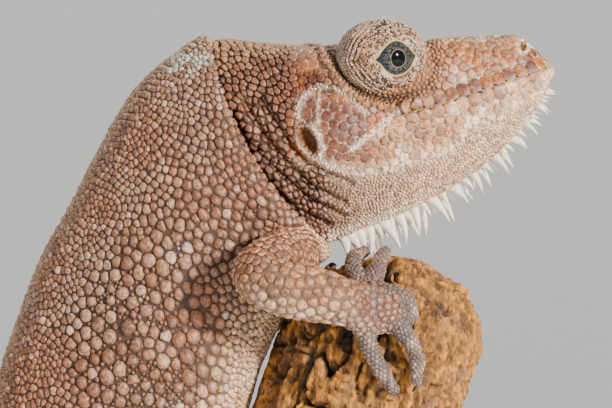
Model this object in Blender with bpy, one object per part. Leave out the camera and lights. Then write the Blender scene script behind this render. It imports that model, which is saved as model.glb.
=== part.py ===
"""A bearded false chameleon, a large Cuban anole, gripping a cut branch on a display stand.

Sizes are in millimetres and become metres when a mesh is made. +X is the way the head points, +Z is up and
-Y is the animal's right. Places on the animal are drawn from an origin level with its chest and inside its
throat, which ORIGIN moves above the middle of the stand's underside. Places on the branch are given as a
depth down its axis from the top, a turn round it and a height above its bark.
"""

import math

import bmesh
import bpy
import numpy as np

MM = 0.001
GAP = 0.3
ORIGIN = np.array([15.0, 0.0, 196.0])
RIGHT, LEFT = -1, 1

# Rows of ribs: dorsal x, z, ventral x, z, half width, level of the greatest width, squareness above and
# below it, and how far the rib bows backwards.
HEAD_RIBS = np.array([
    (41.1, 24.6, 41.9, 21.3, 2.4, 0.50, 2.2, 2.20, 0.0),
    (39.9, 25.9, 41.5, 19.4, 4.2, 0.50, 2.3, 2.20, 0.0),
    (38.2, 27.7, 40.4, 17.4, 5.6, 0.52, 2.5, 2.10, 0.0),
    (36.1, 29.2, 38.5, 14.6, 6.8, 0.54, 2.6, 2.00, 0.0),
    (33.4, 29.4, 35.8, 11.4, 7.8, 0.56, 2.7, 1.90, 0.0),
    (29.6, 29.2, 32.3, 7.9, 8.9, 0.57, 2.8, 1.80, 0.0),
    (25.1, 29.0, 28.2, 4.6, 9.9, 0.57, 2.9, 1.75, 0.0),
    (20.5, 28.7, 23.7, 1.7, 10.9, 0.56, 3.0, 1.70, 0.0),
    (15.8, 28.6, 19.6, -0.5, 11.7, 0.55, 3.0, 1.65, 0.0),
    (11.0, 28.4, 15.8, -2.4, 12.5, 0.54, 2.9, 1.65, 0.3),
    (5.8, 28.0, 12.4, -3.8, 13.1, 0.53, 2.8, 1.65, 0.8),
    (1.0, 27.7, 9.6, -4.8, 13.2, 0.52, 2.7, 1.70, 1.4),
    (-3.4, 27.5, 7.6, -5.7, 12.6, 0.51, 2.5, 1.75, 2.0),
    (-7.9, 27.7, 6.0, -6.2, 11.9, 0.50, 2.3, 1.80, 2.6),
    (-12.0, 28.2, 5.0, -6.5, 11.7, 0.50, 2.1, 1.90, 3.2),
    (-16.0, 28.6, 4.3, -6.9, 12.0, 0.50, 2.0, 2.00, 3.8),
])
TRUNK_RIBS = np.array([
    (-16.9, 28.9, 4.1, -7.7, 11.6, 0.50, 1.90, 2.1, 3.8),
    (-21.0, 26.8, 3.4, -9.3, 12.8, 0.50, 1.85, 2.2, 3.4),
    (-26.1, 23.4, 1.0, -11.7, 13.3, 0.50, 1.80, 2.2, 2.8),
    (-30.8, 18.2, -1.5, -15.3, 13.6, 0.50, 1.80, 2.2, 2.0),
    (-35.4, 10.3, -3.8, -19.6, 13.8, 0.50, 1.80, 2.2, 1.2),
    (-40.6, 0.2, -6.0, -24.3, 14.0, 0.50, 1.80, 2.2, 0.6),
    (-45.6, -8.8, -7.7, -28.2, 14.1, 0.50, 1.80, 2.2, 0.2),
    (-49.2, -18.2, -8.9, -32.3, 14.1, 0.50, 1.80, 2.2, 0.0),
    (-52.6, -27.9, -10.3, -37.2, 13.8, 0.50, 1.80, 2.2, 0.0),
    (-54.9, -37.2, -12.0, -42.7, 13.1, 0.50, 1.80, 2.2, 0.0),
    (-55.6, -45.8, -14.8, -48.7, 12.0, 0.50, 1.85, 2.2, 0.0),
    (-54.4, -54.4, -18.6, -54.9, 10.6, 0.50, 1.90, 2.2, 0.0),
    (-51.9, -61.2, -23.4, -60.9, 9.2, 0.50, 1.95, 2.1, 0.0),
    (-50.1, -67.3, -28.6, -66.7, 7.9, 0.50, 2.00, 2.0, 0.0),
    (-48.8, -72.9, -32.7, -72.2, 6.6, 0.50, 2.00, 2.0, 0.0),
])
HEAD_SIDES, HEAD_RINGS, NECK_RINGS = 24, 25, 5
TRUNK_SIDES, TRUNK_RINGS = 20, 20
NECK_AT = 13.0
FOLD_AT = 15.0

# The crown: a ridge along each side of it and a shallow trough between, from the snout to the nape.
RIDGE_TURN, RIDGE_SPREAD, RIDGE_HEIGHT = math.radians(38), math.radians(15), 1.3
TROUGH_SPREAD, TROUGH_DEPTH = math.radians(20), 1.0
CROWN_MIDDLE, CROWN_SPREAD = 6.5, 4.0
# The jaw muscle that swells each cheek in front of the ear.
CHEEK_X, CHEEK_Z, CHEEK_LENGTH, CHEEK_RISE, CHEEK_SWELL = 5.5, 12.5, 5.0, 6.0, 0.9

# The line of the mouth, from in front of the snout to its corner and on behind the jaw.
MOUTH = ((50.0, 26.6), (40.9, 23.5), (35.9, 21.4), (29.9, 19.3), (23.0, 17.0), (14.8, 14.6),
         (8.4, 10.1), (3.5, 6.2), (-3.0, 3.4), (-18.0, 1.0))

TURRET = np.array([13.0, 8.2, 24.9])
# Half sizes of an eye's dome along the gaze, forwards and up, and the eyeball's radius.
DOME_DEEP, DOME_LONG, DOME_HIGH, EYE_RADIUS = 7.4, 7.7, 6.6, 6.2
GAZE = math.radians(17.5)
SLIT_HALF_LENGTH, SLIT_HALF_HEIGHT, SLIT_ROUNDNESS = 3.5, 2.9, 1.35
POCKET_TURN, POCKET_FLOOR = math.radians(40), 3.6
TURRET_SIDES = 16

EAR, EAR_SIZE, EAR_LEAN = np.array([0.8, 12.6, 10.8]), (1.1, 2.4, 2.3), math.radians(20)
NOSTRIL, NOSTRIL_RADIUS = np.array([36.9, 5.3, 27.1]), 0.55
LIP_LEVEL, LIP_HEIGHT, LIP_DEPTH, LIP_RINGS = 0.8, 0.85, 0.65, 17

BEARD_SPINES, BEARD_FROM, BEARD_TO = 21, 1.3, 12.3
SPINE_ROOT = 1.1
# Length of the spines along the beard, from the chin back.
BEARD = (1.5, 2.6, 3.4, 3.9, 4.1, 3.9, 2.9)
# Height of the low crest's points along the back, from the nape to the tail.
CREST_POINTS, CREST = 20, (0.5, 0.8, 0.9, 0.9, 0.8, 0.7, 0.5)

# The branch: its axis leans towards the head, and its top is a worn dome that slopes down at the back.
AXIS_POINT, AXIS_DEPTH = np.array([8.8, 0.0, -34.7]), 27.5
AXIS_UP = np.array([0.3256, 0.0, 0.9455])
AXIS_OUT = np.array([0.9455, 0.0, -0.3256])
AXIS_SIDE = np.array([0.0, 1.0, 0.0])
BRANCH_RADIUS, DOME_DEPTH, DOME_POWER = 16.6, 14.0, 2.2
BRANCH_FOOT = -171.0
BRANCH_RINGS, BRANCH_SIDES = 26, 18

# The tail: share of its length, depth on the branch, turn in degrees, clearance, half height, half width.
TAIL = np.array([
    (0.00, 79.4, 180.0, 9.40, 8.00, 6.60),
    (0.10, 95.0, 181.0, 7.20, 6.40, 5.40),
    (0.20, 109.0, 189.0, 4.20, 5.40, 4.60),
    (0.30, 120.5, 207.0, 1.60, 4.70, 4.10),
    (0.42, 129.0, 244.0, 0.50, 4.00, 3.50),
    (0.56, 135.5, 300.0, 0.50, 3.30, 2.90),
    (0.70, 141.0, 360.0, 0.50, 2.60, 2.30),
    (0.84, 146.5, 420.0, 0.50, 1.90, 1.70),
    (0.94, 151.0, 462.0, 0.50, 1.30, 1.20),
    (1.00, 154.0, 487.0, 0.50, 0.90, 0.80),
])
TAIL_CUTS = (0.0, 0.26, 0.50, 0.75, 1.0)
TAIL_RINGS, TAIL_SIDES = 46, 10

# A digit: start up the branch and forwards from the palm's middle, heading from up the branch towards the
# front in degrees, bend of that heading along it, length and arch.
HAND_DIGITS = (
    (3.0, -2.4, -52, 24, 12.0, 0.2),
    (2.8, -0.8, -10, -12, 11.0, 0.2),
    (2.6, 0.6, 62, 95, 6.8, 1.1),
    (-0.4, 2.4, 103, 66, 12.3, 1.0),
    (-2.8, 0.2, 152, -26, 11.5, 0.9),
)
FOOT_DIGITS = (
    (1.6, -3.2, -55, 25, 7.5, 0.3),
    (2.8, -1.6, -18, 25, 11.0, 0.5),
    (3.0, 0.4, 12, 25, 14.0, 0.7),
    (2.2, 2.2, 42, 25, 17.0, 0.8),
    (-1.4, 2.6, 105, 30, 11.0, 0.5),
)
DIGIT_RINGS, DIGIT_SIDES = 6, 6
HAND_THICK, FOOT_THICK, DIGIT_TAPER = 1.9, 1.7, 0.3
CLAW_LENGTH, CLAW_RADIUS = 2.3, 0.6

# Limbs of the animal's right: points x, y outwards, z, half thickness and half width.
UPPER_ARM = ((-3.2, 5.0, -7.4, 4.8, 4.8), (-2.6, 11.5, -8.6, 5.1, 5.1), (-4.8, 17.0, -9.6, 5.2, 5.0),
             (-7.4, 20.6, -11.4, 5.2, 5.0))
FOREARM = ((-7.2, 21.8, -12.4, 4.9, 4.6), (-3.6, 22.6, -13.9, 5.0, 4.9), (1.0, 22.5, -14.9, 4.6, 4.8),
           (5.2, 22.2, -16.0, 4.2, 4.2))
PALM_DEPTH, PALM_TURN = 10.7, -102.0
LEFT_ARM_DROP = 7.0
# Hind limbs, as points out from the branch's axis, y outwards, depth, half thickness and half width.
THIGH = ((-34.0, 4.5, 68.0, 5.8, 6.0), (-31.5, 12.0, 68.5, 5.8, 6.4), (-26.5, 19.5, 65.5, 4.8, 5.4),
         (-22.0, 24.0, 62.0, 4.2, 4.5))
SHANK = ((-20.5, 24.6, 64.0, 4.0, 4.1), (-17.0, 25.4, 70.5, 4.1, 4.4), (-12.5, 24.2, 78.0, 3.2, 3.5),
         (-9.0, 21.8, 84.5, 2.6, 2.9))
SOLE_DEPTH, SOLE_TURN = 87.5, -97.0
LEFT_LEG_DROP = 5.0

ROD_RADIUS, ROD_X = 4.0, -37.5
BASE_RADIUS, BASE_HEIGHT, BASE_BEVEL = 54.0, 8.0, 1.4

SKIN = ("skin", (0.48, 0.33, 0.27, 1.0), 0.65)
THROAT = ("throat", (0.62, 0.52, 0.46, 1.0), 0.6)
EYE = ("eye", (0.05, 0.09, 0.10, 1.0), 0.1)
WOOD = ("wood", (0.36, 0.19, 0.09, 1.0), 0.85)
STEEL = ("steel", (0.35, 0.35, 0.36, 1.0), 0.35)
PLINTH = ("plinth", (0.06, 0.06, 0.065, 1.0), 0.45)


def clear_scene():
    for obj in list(bpy.data.objects):
        bpy.data.objects.remove(obj, do_unlink=True)


def material(finish):
    name, colour, roughness = finish
    found = bpy.data.materials.get(name)
    if found:
        return found
    made = bpy.data.materials.new(name)
    made.use_nodes = True
    shader = made.node_tree.nodes["Principled BSDF"]
    shader.inputs["Base Color"].default_value = colour
    shader.inputs["Roughness"].default_value = roughness
    shader.inputs["Metallic"].default_value = 1.0 if finish is STEEL else 0.0
    return made


def unit(vectors):
    vectors = np.asarray(vectors, float)
    return vectors / np.linalg.norm(vectors, axis=-1, keepdims=True)


def smooth_rows(rows, at):
    """Rows read at fractional places by a Catmull-Rom spline, which passes through every row."""
    rows = np.asarray(rows, float)
    at = np.clip(np.atleast_1d(np.asarray(at, float)), 0, len(rows) - 1)
    low = np.minimum(at.astype(int), len(rows) - 2)
    t = (at - low)[:, None]
    before, start, end, after = (rows[np.clip(low + k, 0, len(rows) - 1)] for k in (-1, 0, 1, 2))
    return 0.5 * (2 * start + (end - before) * t + (2 * before - 5 * start + 4 * end - after) * t ** 2
                  + (3 * start - before - 3 * end + after) * t ** 3)


def solid(name, rings, poles):
    """One closed mesh through rings of equal count, each end closed on its pole."""
    rings = np.asarray(rings, float)
    count, sides = rings.shape[:2]
    points = np.vstack([rings.reshape(-1, 3), np.asarray(poles, float)]) + ORIGIN
    faces = []
    for k in range(count - 1):
        for i in range(sides):
            j = (i + 1) % sides
            faces.append((k * sides + i, k * sides + j, (k + 1) * sides + j, (k + 1) * sides + i))
    first, last = count * sides, count * sides + 1
    for i in range(sides):
        j = (i + 1) % sides
        faces.append((first, j, i))
        faces.append((last, (count - 1) * sides + i, (count - 1) * sides + j))
    mesh = bpy.data.meshes.new(name)
    mesh.from_pydata((points * MM).tolist(), [], faces)
    form = bmesh.new()
    form.from_mesh(mesh)
    bmesh.ops.triangulate(form, faces=form.faces)
    bmesh.ops.recalc_face_normals(form, faces=form.faces)
    form.to_mesh(mesh)
    form.free()
    made = bpy.data.objects.new(name, mesh)
    bpy.context.scene.collection.objects.link(made)
    return made


def dress(obj, finish):
    obj.data.materials.clear()
    obj.data.materials.append(material(finish))
    obj.data.shade_smooth()
    obj.data.set_sharp_from_angle(angle=math.radians(50))
    return obj


def settle(obj):
    """The object's modifiers applied to its mesh."""
    graph = bpy.context.evaluated_depsgraph_get()
    mesh = bpy.data.meshes.new_from_object(obj.evaluated_get(graph))
    obj.modifiers.clear()
    obj.data = mesh
    return obj


def keep_largest(obj):
    """Only the largest closed surface of the mesh is kept."""
    form = bmesh.new()
    form.from_mesh(obj.data)
    left = set(form.verts)
    islands = []
    while left:
        stack = [left.pop()]
        island = set(stack)
        while stack:
            for edge in stack.pop().link_edges:
                for vert in edge.verts:
                    if vert in left:
                        left.remove(vert)
                        island.add(vert)
                        stack.append(vert)
        islands.append(island)
    islands.sort(key=len)
    for island in islands[:-1]:
        bmesh.ops.delete(form, geom=list(island), context="VERTS")
    form.to_mesh(obj.data)
    form.free()
    return obj


def fuse(name, pieces):
    """A node's pieces joined by one Boolean union over a collection, which is then emptied."""
    first, others = pieces[0], pieces[1:]
    group = bpy.data.collections.new(name + "_pieces")
    bpy.context.scene.collection.children.link(group)
    for piece in others:
        bpy.context.scene.collection.objects.unlink(piece)
        group.objects.link(piece)
    joiner = first.modifiers.new("join", "BOOLEAN")
    joiner.operation, joiner.operand_type, joiner.collection = "UNION", "COLLECTION", group
    joiner.solver = "EXACT"
    settle(first)
    for piece in others:
        bpy.data.objects.remove(piece, do_unlink=True)
    bpy.data.collections.remove(group)
    first.name = name
    return keep_largest(first)


def cut(obj, cutters, operation="DIFFERENCE"):
    for cutter in cutters:
        cutting = obj.modifiers.new("cut", "BOOLEAN")
        cutting.operation, cutting.object, cutting.solver = operation, cutter, "EXACT"
        settle(obj)
    return keep_largest(obj)


def remove(*objects):
    for obj in objects:
        bpy.data.objects.remove(obj, do_unlink=True)


def rib_rings(rows, sides, grow=0.0):
    """Rings of a body: each goes from the dorsal point round the right side to the ventral point and back."""
    turn = np.linspace(0, 2 * math.pi, sides, endpoint=False)
    c, s = np.cos(turn), np.sin(turn)
    rings = []
    for dx, dz, vx, vz, width, level, above, below, bow in rows:
        down = np.array([vx - dx, 0.0, vz - dz])
        length = np.linalg.norm(down)
        down = down / length
        back = np.array([down[2], 0.0, -down[0]])
        level = level * length
        square = np.where(c > 0, above, below)
        reach = np.where(c > 0, level + grow, length - level + grow)
        drop = level - np.sign(c) * np.abs(c) ** (2 / square) * reach
        side = -np.sign(s) * np.abs(s) ** (2 / square) * (width + grow)
        share = np.clip(drop / length, 0, 1)
        ring = np.array([dx, 0.0, dz]) + drop[:, None] * down + side[:, None] * AXIS_SIDE
        rings.append(ring + (4 * bow * share * (1 - share))[:, None] * back)
    return np.array(rings), turn


def head_shape(rings, turn, at):
    """The crown's side ridges, strongest over the snout and eyes, the trough between them and the cheeks."""
    around = np.minimum(turn, 2 * math.pi - turn)
    ridge = RIDGE_HEIGHT * np.exp(-(((around - RIDGE_TURN) / RIDGE_SPREAD) ** 2))
    trough = TROUGH_DEPTH * np.exp(-((around / TROUGH_SPREAD) ** 2))
    along = np.exp(-(((at - CROWN_MIDDLE) / CROWN_SPREAD) ** 2))
    rings = rings.copy()
    rings[..., 2] += along[:, None] * (ridge - trough)
    near = ((rings[..., 0] - CHEEK_X) / CHEEK_LENGTH) ** 2 + ((rings[..., 2] - CHEEK_Z) / CHEEK_RISE) ** 2
    rings[..., 1] += CHEEK_SWELL * np.sign(rings[..., 1]) * np.exp(-near)
    return rings


def head_rings(at, grow=0.0):
    rings, turn = rib_rings(smooth_rows(HEAD_RIBS, at), HEAD_SIDES, grow)
    return head_shape(rings, turn, at)


def backwards(rib):
    """The unit vector square to a rib that points to the tail."""
    down = unit([rib[2] - rib[0], 0.0, rib[3] - rib[1]])
    return np.array([down[2], 0.0, -down[0]])


def head_whole():
    at = np.concatenate([[0.0, 0.35], np.linspace(0.8, NECK_AT, HEAD_RINGS - 2)])
    rings = head_rings(at)
    nose = rings[0].mean(axis=0) + np.array([0.8, 0.0, 0.0])
    back = bowed_middle(smooth_rows(HEAD_RIBS, NECK_AT)[0])
    return solid("head_whole", rings, (nose, back))


def bowed_middle(rib):
    """The point half way down a rib, on its bow."""
    middle = np.array([(rib[0] + rib[2]) / 2, 0.0, (rib[1] + rib[3]) / 2])
    return middle + rib[8] * backwards(rib)


def capped(name, rings, first, last, grow):
    """A body between two ribs, closed on the ribs' own curve, and both ends moved out by the growth."""
    fore, aft = grow * backwards(first), grow * backwards(last)
    rings[0] -= fore
    rings[-1] += aft
    return solid(name, rings, (bowed_middle(first) - fore, bowed_middle(last) + aft))


def neck():
    rings = head_rings(np.linspace(NECK_AT, FOLD_AT, NECK_RINGS))
    first = smooth_rows(HEAD_RIBS, NECK_AT)[0]
    first[[0, 2]] += GAP * backwards(first)[0]
    first[[1, 3]] += GAP * backwards(first)[2]
    rings[0] += GAP * backwards(first)
    return capped("neck", rings, first, HEAD_RIBS[-1], 0.0)


def throat_room():
    """The head's and neck's outline behind the eyes, grown by the gap."""
    at = np.linspace(8.0, FOLD_AT, 12)
    return capped("throat_room", head_rings(at, GAP), HEAD_RIBS[8], HEAD_RIBS[-1], GAP)


def torso(name="torso", grow=0.0):
    at = np.linspace(0, len(TRUNK_RIBS) - 1, TRUNK_RINGS)
    rings, _ = rib_rings(smooth_rows(TRUNK_RIBS, at), TRUNK_SIDES, grow)
    return capped(name, rings, TRUNK_RIBS[0], TRUNK_RIBS[-1], grow)


def branch_radius(depth, turn):
    """Radius of the branch at a depth and a turn: a dome at the top, then a shaft with low swellings."""
    rise = np.clip(1 - np.asarray(depth, float) / DOME_DEPTH, 0, 1)
    dome = np.sqrt(np.maximum(1 - rise ** DOME_POWER, 0))
    lumps = 0.45 * np.sin(3 * turn + depth / 13) + 0.35 * np.sin(5 * turn - depth / 8 + 1)
    waist = 0.6 * np.sin(depth / 21 + 0.8)
    return dome * (BRANCH_RADIUS + lumps + waist)


def branch_point(depth, turn, height=0.0):
    """A point at a height above the bark. At the back the dome is worn lower, by a soft step."""
    depth, turn = np.asarray(depth, float), np.asarray(turn, float)
    radius = branch_radius(depth, turn)
    out = radius * np.cos(turn)
    slope = 0.3 * 0.5 * (np.sqrt(out ** 2 + 9) - out) * np.exp(-depth / 9)
    steep = np.clip(1 - depth / DOME_DEPTH, 0, 1) ** 1.5
    direction = unit(np.stack([np.cos(turn) * (1 - 0.75 * steep), np.sin(turn) * (1 - 0.75 * steep), steep], -1))
    along = AXIS_DEPTH - depth - slope + height * direction[..., 2]
    return (AXIS_POINT + along[..., None] * AXIS_UP
            + (out + height * direction[..., 0])[..., None] * AXIS_OUT
            + (radius * np.sin(turn) + height * direction[..., 1])[..., None] * AXIS_SIDE)


def out_point(out, side, depth):
    """A point at a distance out from the branch's axis, to the side and down it."""
    return AXIS_POINT + (AXIS_DEPTH - depth) * AXIS_UP + out * AXIS_OUT + side * AXIS_SIDE


def branch(name="perch", grow=0.0):
    turn = np.linspace(0, 2 * math.pi, BRANCH_SIDES, endpoint=False)
    head_z = AXIS_POINT[2] + AXIS_DEPTH * AXIS_UP[2]
    end = (head_z - BRANCH_FOOT + BRANCH_RADIUS * np.cos(turn) * AXIS_OUT[2]) / AXIS_UP[2]
    dome = np.array([0.003, 0.01, 0.022, 0.04, 0.062])
    share = np.concatenate([dome, np.linspace(0.09, 1, BRANCH_RINGS - len(dome))])
    rings = np.array([branch_point(s * end, turn, grow) for s in share])
    foot = rings[-1].mean(axis=0)
    rings[-1][:, 2] = BRANCH_FOOT
    foot[2] = BRANCH_FOOT
    return solid(name, rings, (branch_point(0.0, 0.0, grow + 0.1), foot))


def tube_rings(points, radii, normal, sides, round_start=True, round_end=True, tangent=None):
    """Elliptical rings square to a path; rounded ends add two shrinking rings and a pole each."""
    tangent = unit(np.gradient(points, axis=0)) if tangent is None else tangent
    normal = np.broadcast_to(normal, points.shape)
    normal = unit(normal - np.sum(normal * tangent, 1)[:, None] * tangent)
    cross = np.cross(normal, tangent)
    turn = np.linspace(0, 2 * math.pi, sides, endpoint=False)

    def ring(k, push=0.0, shrink=1.0):
        middle = points[k] + push * radii[k].mean() * tangent[k]
        return (middle + shrink * (radii[k, 0] * np.cos(turn)[:, None] * normal[k]
                                   + radii[k, 1] * np.sin(turn)[:, None] * cross[k]))

    rings = [ring(k) for k in range(len(points))]
    poles = [points[0], points[-1]]
    if round_start:
        rings = [ring(0, -0.9, 0.45), ring(0, -0.6, 0.8)] + rings
        poles[0] = points[0] - radii[0].mean() * tangent[0]
    if round_end:
        rings = rings + [ring(-1, 0.6, 0.8), ring(-1, 0.9, 0.45)]
        poles[1] = points[-1] + radii[-1].mean() * tangent[-1]
    return rings, poles


def limb(name, points, radii, normal, sides=11, rings=6, grow=0.0):
    """A limb along a smooth path through a few points, round at both ends."""
    rows = np.hstack([np.asarray(points, float), np.asarray(radii, float) + grow])
    rows = smooth_rows(rows, np.linspace(0, len(rows) - 1, rings))
    return solid(name, *tube_rings(rows[:, :3], rows[:, 3:], normal, sides))


def arm_points(table, side, lowered):
    """Points and radii of a length of the arm, moved down the branch by what each end is lowered."""
    table = np.asarray(table, float)
    drop = np.linspace(*lowered, len(table))[:, None]
    return table[:, :3] * (1, side, 1) - drop * AXIS_UP, table[:, 3:]


def leg_points(table, side, lowered):
    table = np.asarray(table, float)
    drop = np.linspace(*lowered, len(table))
    points = np.array([out_point(row[0], side * row[1], row[2] + fall) for row, fall in zip(table, drop)])
    return points, table[:, 3:]


def walk(depth, turn, heading, bend, length, side):
    """Steps over the bark from a place, by a heading that bends evenly, as depths, turns and lengths."""
    steps = 4 * (DIGIT_RINGS - 1)
    stride = length / steps
    places = [(depth, turn)]
    for k in range(steps):
        way = math.radians(heading + bend * (k + 0.5) / steps)
        radius = float(branch_radius(depth, turn))
        slope = float(branch_radius(depth + 0.1, turn)) - radius
        fall = math.hypot(1.0, slope / 0.1)
        depth = max(depth - math.cos(way) * stride / fall, 0.5)
        turn = turn - side * math.sin(way) * stride / max(radius, 3.0)
        places.append((depth, turn))
    return np.array(places[::4])


def outward(depth, turn):
    return unit(branch_point(depth, turn, 1.0) - branch_point(depth, turn, 0.0))


def digit(depth, turn, row, side, thick):
    """A finger or toe that lies along the bark, arched in its middle, and its claw."""
    up, forward, heading, bend, length, arch = row
    start_turn = turn - side * forward / BRANCH_RADIUS
    places = walk(depth - up, start_turn, heading, bend, length, side)
    t = np.linspace(0, 1, len(places))
    radius = thick * (1.0 - DIGIT_TAPER * t)
    height = radius + GAP + 0.15 + arch * np.sin(math.pi * np.clip(t * 1.15, 0, 1))
    points = branch_point(places[:, 0], places[:, 1], height)
    normals = outward(places[:, 0], places[:, 1])
    radii = np.stack([radius * 0.95, radius], axis=1)
    finger = solid("digit", *tube_rings(points, radii, normals, DIGIT_SIDES, False))
    ahead = unit(points[-1] - points[-2])
    lift = normals[-1]
    tip = points[-1] + 0.2 * ahead
    bed = tip + CLAW_LENGTH * (0.62 * ahead - 0.02 * lift)
    end = tip + CLAW_LENGTH * (0.95 * ahead) - (radius[-1] - 0.25) * lift
    path = np.array([tip - 0.5 * ahead, bed + 0.25 * lift, end])
    width = CLAW_RADIUS * np.array([1.0, 0.75, 0.2])
    claw = solid("claw", *tube_rings(path, np.stack([width, width * 0.8], 1), lift, 5, False, False))
    return [finger, claw]


def paw(name, wrist, radii, depth, turn, digits, side, thick, cutters):
    """A hand or foot: a flattened palm from the wrist to the knuckles, with five clawed digits."""
    middle = branch_point(depth, turn, radii[1][0] + GAP + 0.2)
    knuckles = branch_point(depth - 0.4, turn - side * 2.6 / BRANCH_RADIUS, radii[2][0] + GAP + 0.2)
    points = smooth_rows(np.array([wrist, middle, knuckles]), np.linspace(0, 2, 5))
    spread = smooth_rows(np.array(radii), np.linspace(0, 2, 5))
    palm = solid("palm", *tube_rings(points, spread, outward(depth, turn), 10))
    pieces = [palm]
    for row in digits:
        pieces += digit(depth, turn, row, side, thick)
    return cut(fuse(name, pieces), cutters)


def turret_frame(side):
    """The axes of an eye: the gaze, forwards along the slit and up."""
    gaze = np.array([math.sin(GAZE), side * math.cos(GAZE), 0.0])
    forward = np.array([math.cos(GAZE), -side * math.sin(GAZE), 0.0])
    return gaze, forward, np.array([0.0, 0.0, 1.0])


def dome_radius(turn, angle):
    """Distance from an eye's middle to the lids' dome, an ellipsoid, at an angle from the gaze."""
    flat = (np.cos(turn) / DOME_LONG) ** 2 + (np.sin(turn) / DOME_HIGH) ** 2
    return 1 / np.sqrt((np.cos(angle) / DOME_DEEP) ** 2 + np.sin(angle) ** 2 * flat)


def slit_turn(turn):
    """Angle from the gaze to the lids' edge, round a slit with pointed corners."""
    p = SLIT_ROUNDNESS
    reach = (np.abs(np.cos(turn) / SLIT_HALF_LENGTH) ** p + np.abs(np.sin(turn) / SLIT_HALF_HEIGHT) ** p) ** (-1 / p)
    return np.arcsin(reach / DOME_DEEP)


def eye_rings(side, profile, centre):
    """Rings of a form turned round the gaze: each profile entry gives angles from the gaze and a radius."""
    gaze, forward, up = turret_frame(side)
    turn = np.linspace(0, 2 * math.pi, TURRET_SIDES, endpoint=False)
    rings = []
    for angle, radius in profile(turn):
        angle = np.broadcast_to(angle, turn.shape)
        radius = np.broadcast_to(radius, turn.shape)
        flat = np.cos(turn)[:, None] * forward + np.sin(turn)[:, None] * up
        rings.append(centre + (radius * np.cos(angle))[:, None] * gaze
                     + (radius * np.sin(angle))[:, None] * flat)
    return rings


def turret(side):
    """The lids' dome, with the slit and the pocket behind it that holds the eye."""
    centre = TURRET * (1, side, 1)
    gaze, _, _ = turret_frame(side)

    def profile(turn):
        edge = slit_turn(turn)
        inner = EYE_RADIUS + GAP
        for share in (1.0, 0.75, 0.5, 0.28, 0.08):
            angle = edge + (math.radians(112) - edge) * share
            yield angle, dome_radius(turn, angle)
        yield edge, dome_radius(turn, edge) - 0.25
        yield edge, inner
        yield POCKET_TURN, inner
        yield math.atan2(inner * math.sin(POCKET_TURN), POCKET_FLOOR), math.hypot(
            inner * math.sin(POCKET_TURN), POCKET_FLOOR)

    rings = eye_rings(side, profile, centre)
    back = centre - gaze * DOME_DEEP * 0.5
    return solid("turret", rings, (back, centre + POCKET_FLOOR * gaze))


def eye(side, name):
    """The part of the eyeball in its pocket: a cap of a sphere with a flat back."""
    centre = TURRET * (1, side, 1)
    gaze, _, _ = turret_frame(side)
    rim = math.asin((EYE_RADIUS + GAP) * math.sin(POCKET_TURN) / EYE_RADIUS - GAP / EYE_RADIUS)
    floor = POCKET_FLOOR + GAP
    width = EYE_RADIUS * math.sin(rim)

    def profile(turn):
        yield math.atan2(width, floor), math.hypot(width, floor)
        for share in (1.0, 0.75, 0.5, 0.25):
            yield rim * share, EYE_RADIUS

    rings = eye_rings(side, profile, centre)
    return dress(solid(name, rings, (centre + floor * gaze, centre + EYE_RADIUS * gaze)), EYE)


def pit(centre, size, lean):
    """A small ellipsoid cutter, leaned in the head's side view."""
    turn = np.linspace(0, 2 * math.pi, 10, endpoint=False)
    rings = []
    for rise in np.linspace(-0.8, 0.8, 5):
        flat = math.sqrt(1 - rise ** 2)
        rings.append(np.stack([flat * np.cos(turn), flat * np.sin(turn), np.full(10, rise)], 1))
    rings = np.array(rings)
    poles = np.array([(0, 0, -1.0), (0, 0, 1.0)])
    cos, sin = math.cos(lean), math.sin(lean)

    def place(points):
        x, y, z = points[..., 0] * size[0], points[..., 1] * size[2], points[..., 2] * size[1]
        return np.stack([x * cos - z * sin, y, x * sin + z * cos], -1) + centre

    return solid("pit", place(rings), place(poles))


def jaw_block(drop):
    """A block below the line of the mouth, moved down or up by half the gap."""
    line = np.array(MOUTH)
    normal = unit(np.gradient(line, axis=0))[:, ::-1] * (1, -1)
    line = line + drop * normal
    outline = np.vstack([line, [(-18.0, -30.0), (50.0, -30.0)]])
    rings = [np.stack([outline[:, 0], np.full(len(outline), y), outline[:, 1]], 1) for y in (-30.0, 30.0)]
    mesh = bpy.data.meshes.new("jaw_block")
    form = bmesh.new()
    ends = []
    for ring in rings:
        ends.append([form.verts.new(((p + ORIGIN) * MM).tolist()) for p in ring])
    count = len(outline)
    form.faces.new(ends[0])
    form.faces.new(ends[1][::-1])
    for i in range(count):
        j = (i + 1) % count
        form.faces.new((ends[0][i], ends[1][i], ends[1][j], ends[0][j]))
    bmesh.ops.triangulate(form, faces=form.faces)
    bmesh.ops.recalc_face_normals(form, faces=form.faces)
    form.to_mesh(mesh)
    form.free()
    made = bpy.data.objects.new("jaw_block", mesh)
    bpy.context.scene.collection.objects.link(made)
    return made


def spine(root, out, along, height, width):
    """One flattened spine, sunk in its root and tapering to its tip, with its tip bent back a little."""
    t = np.array([0.0, 0.6, 1.0])
    points = root + (-SPINE_ROOT + (height + SPINE_ROOT) * t)[:, None] * out
    points = points - (0.12 * height * t ** 2)[:, None] * along
    radii = width * np.array([1.0, 0.62, 0.12])
    return solid("spine", *tube_rings(points, np.stack([radii, radii * 0.8], axis=1), along, 5, False, False))


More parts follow.
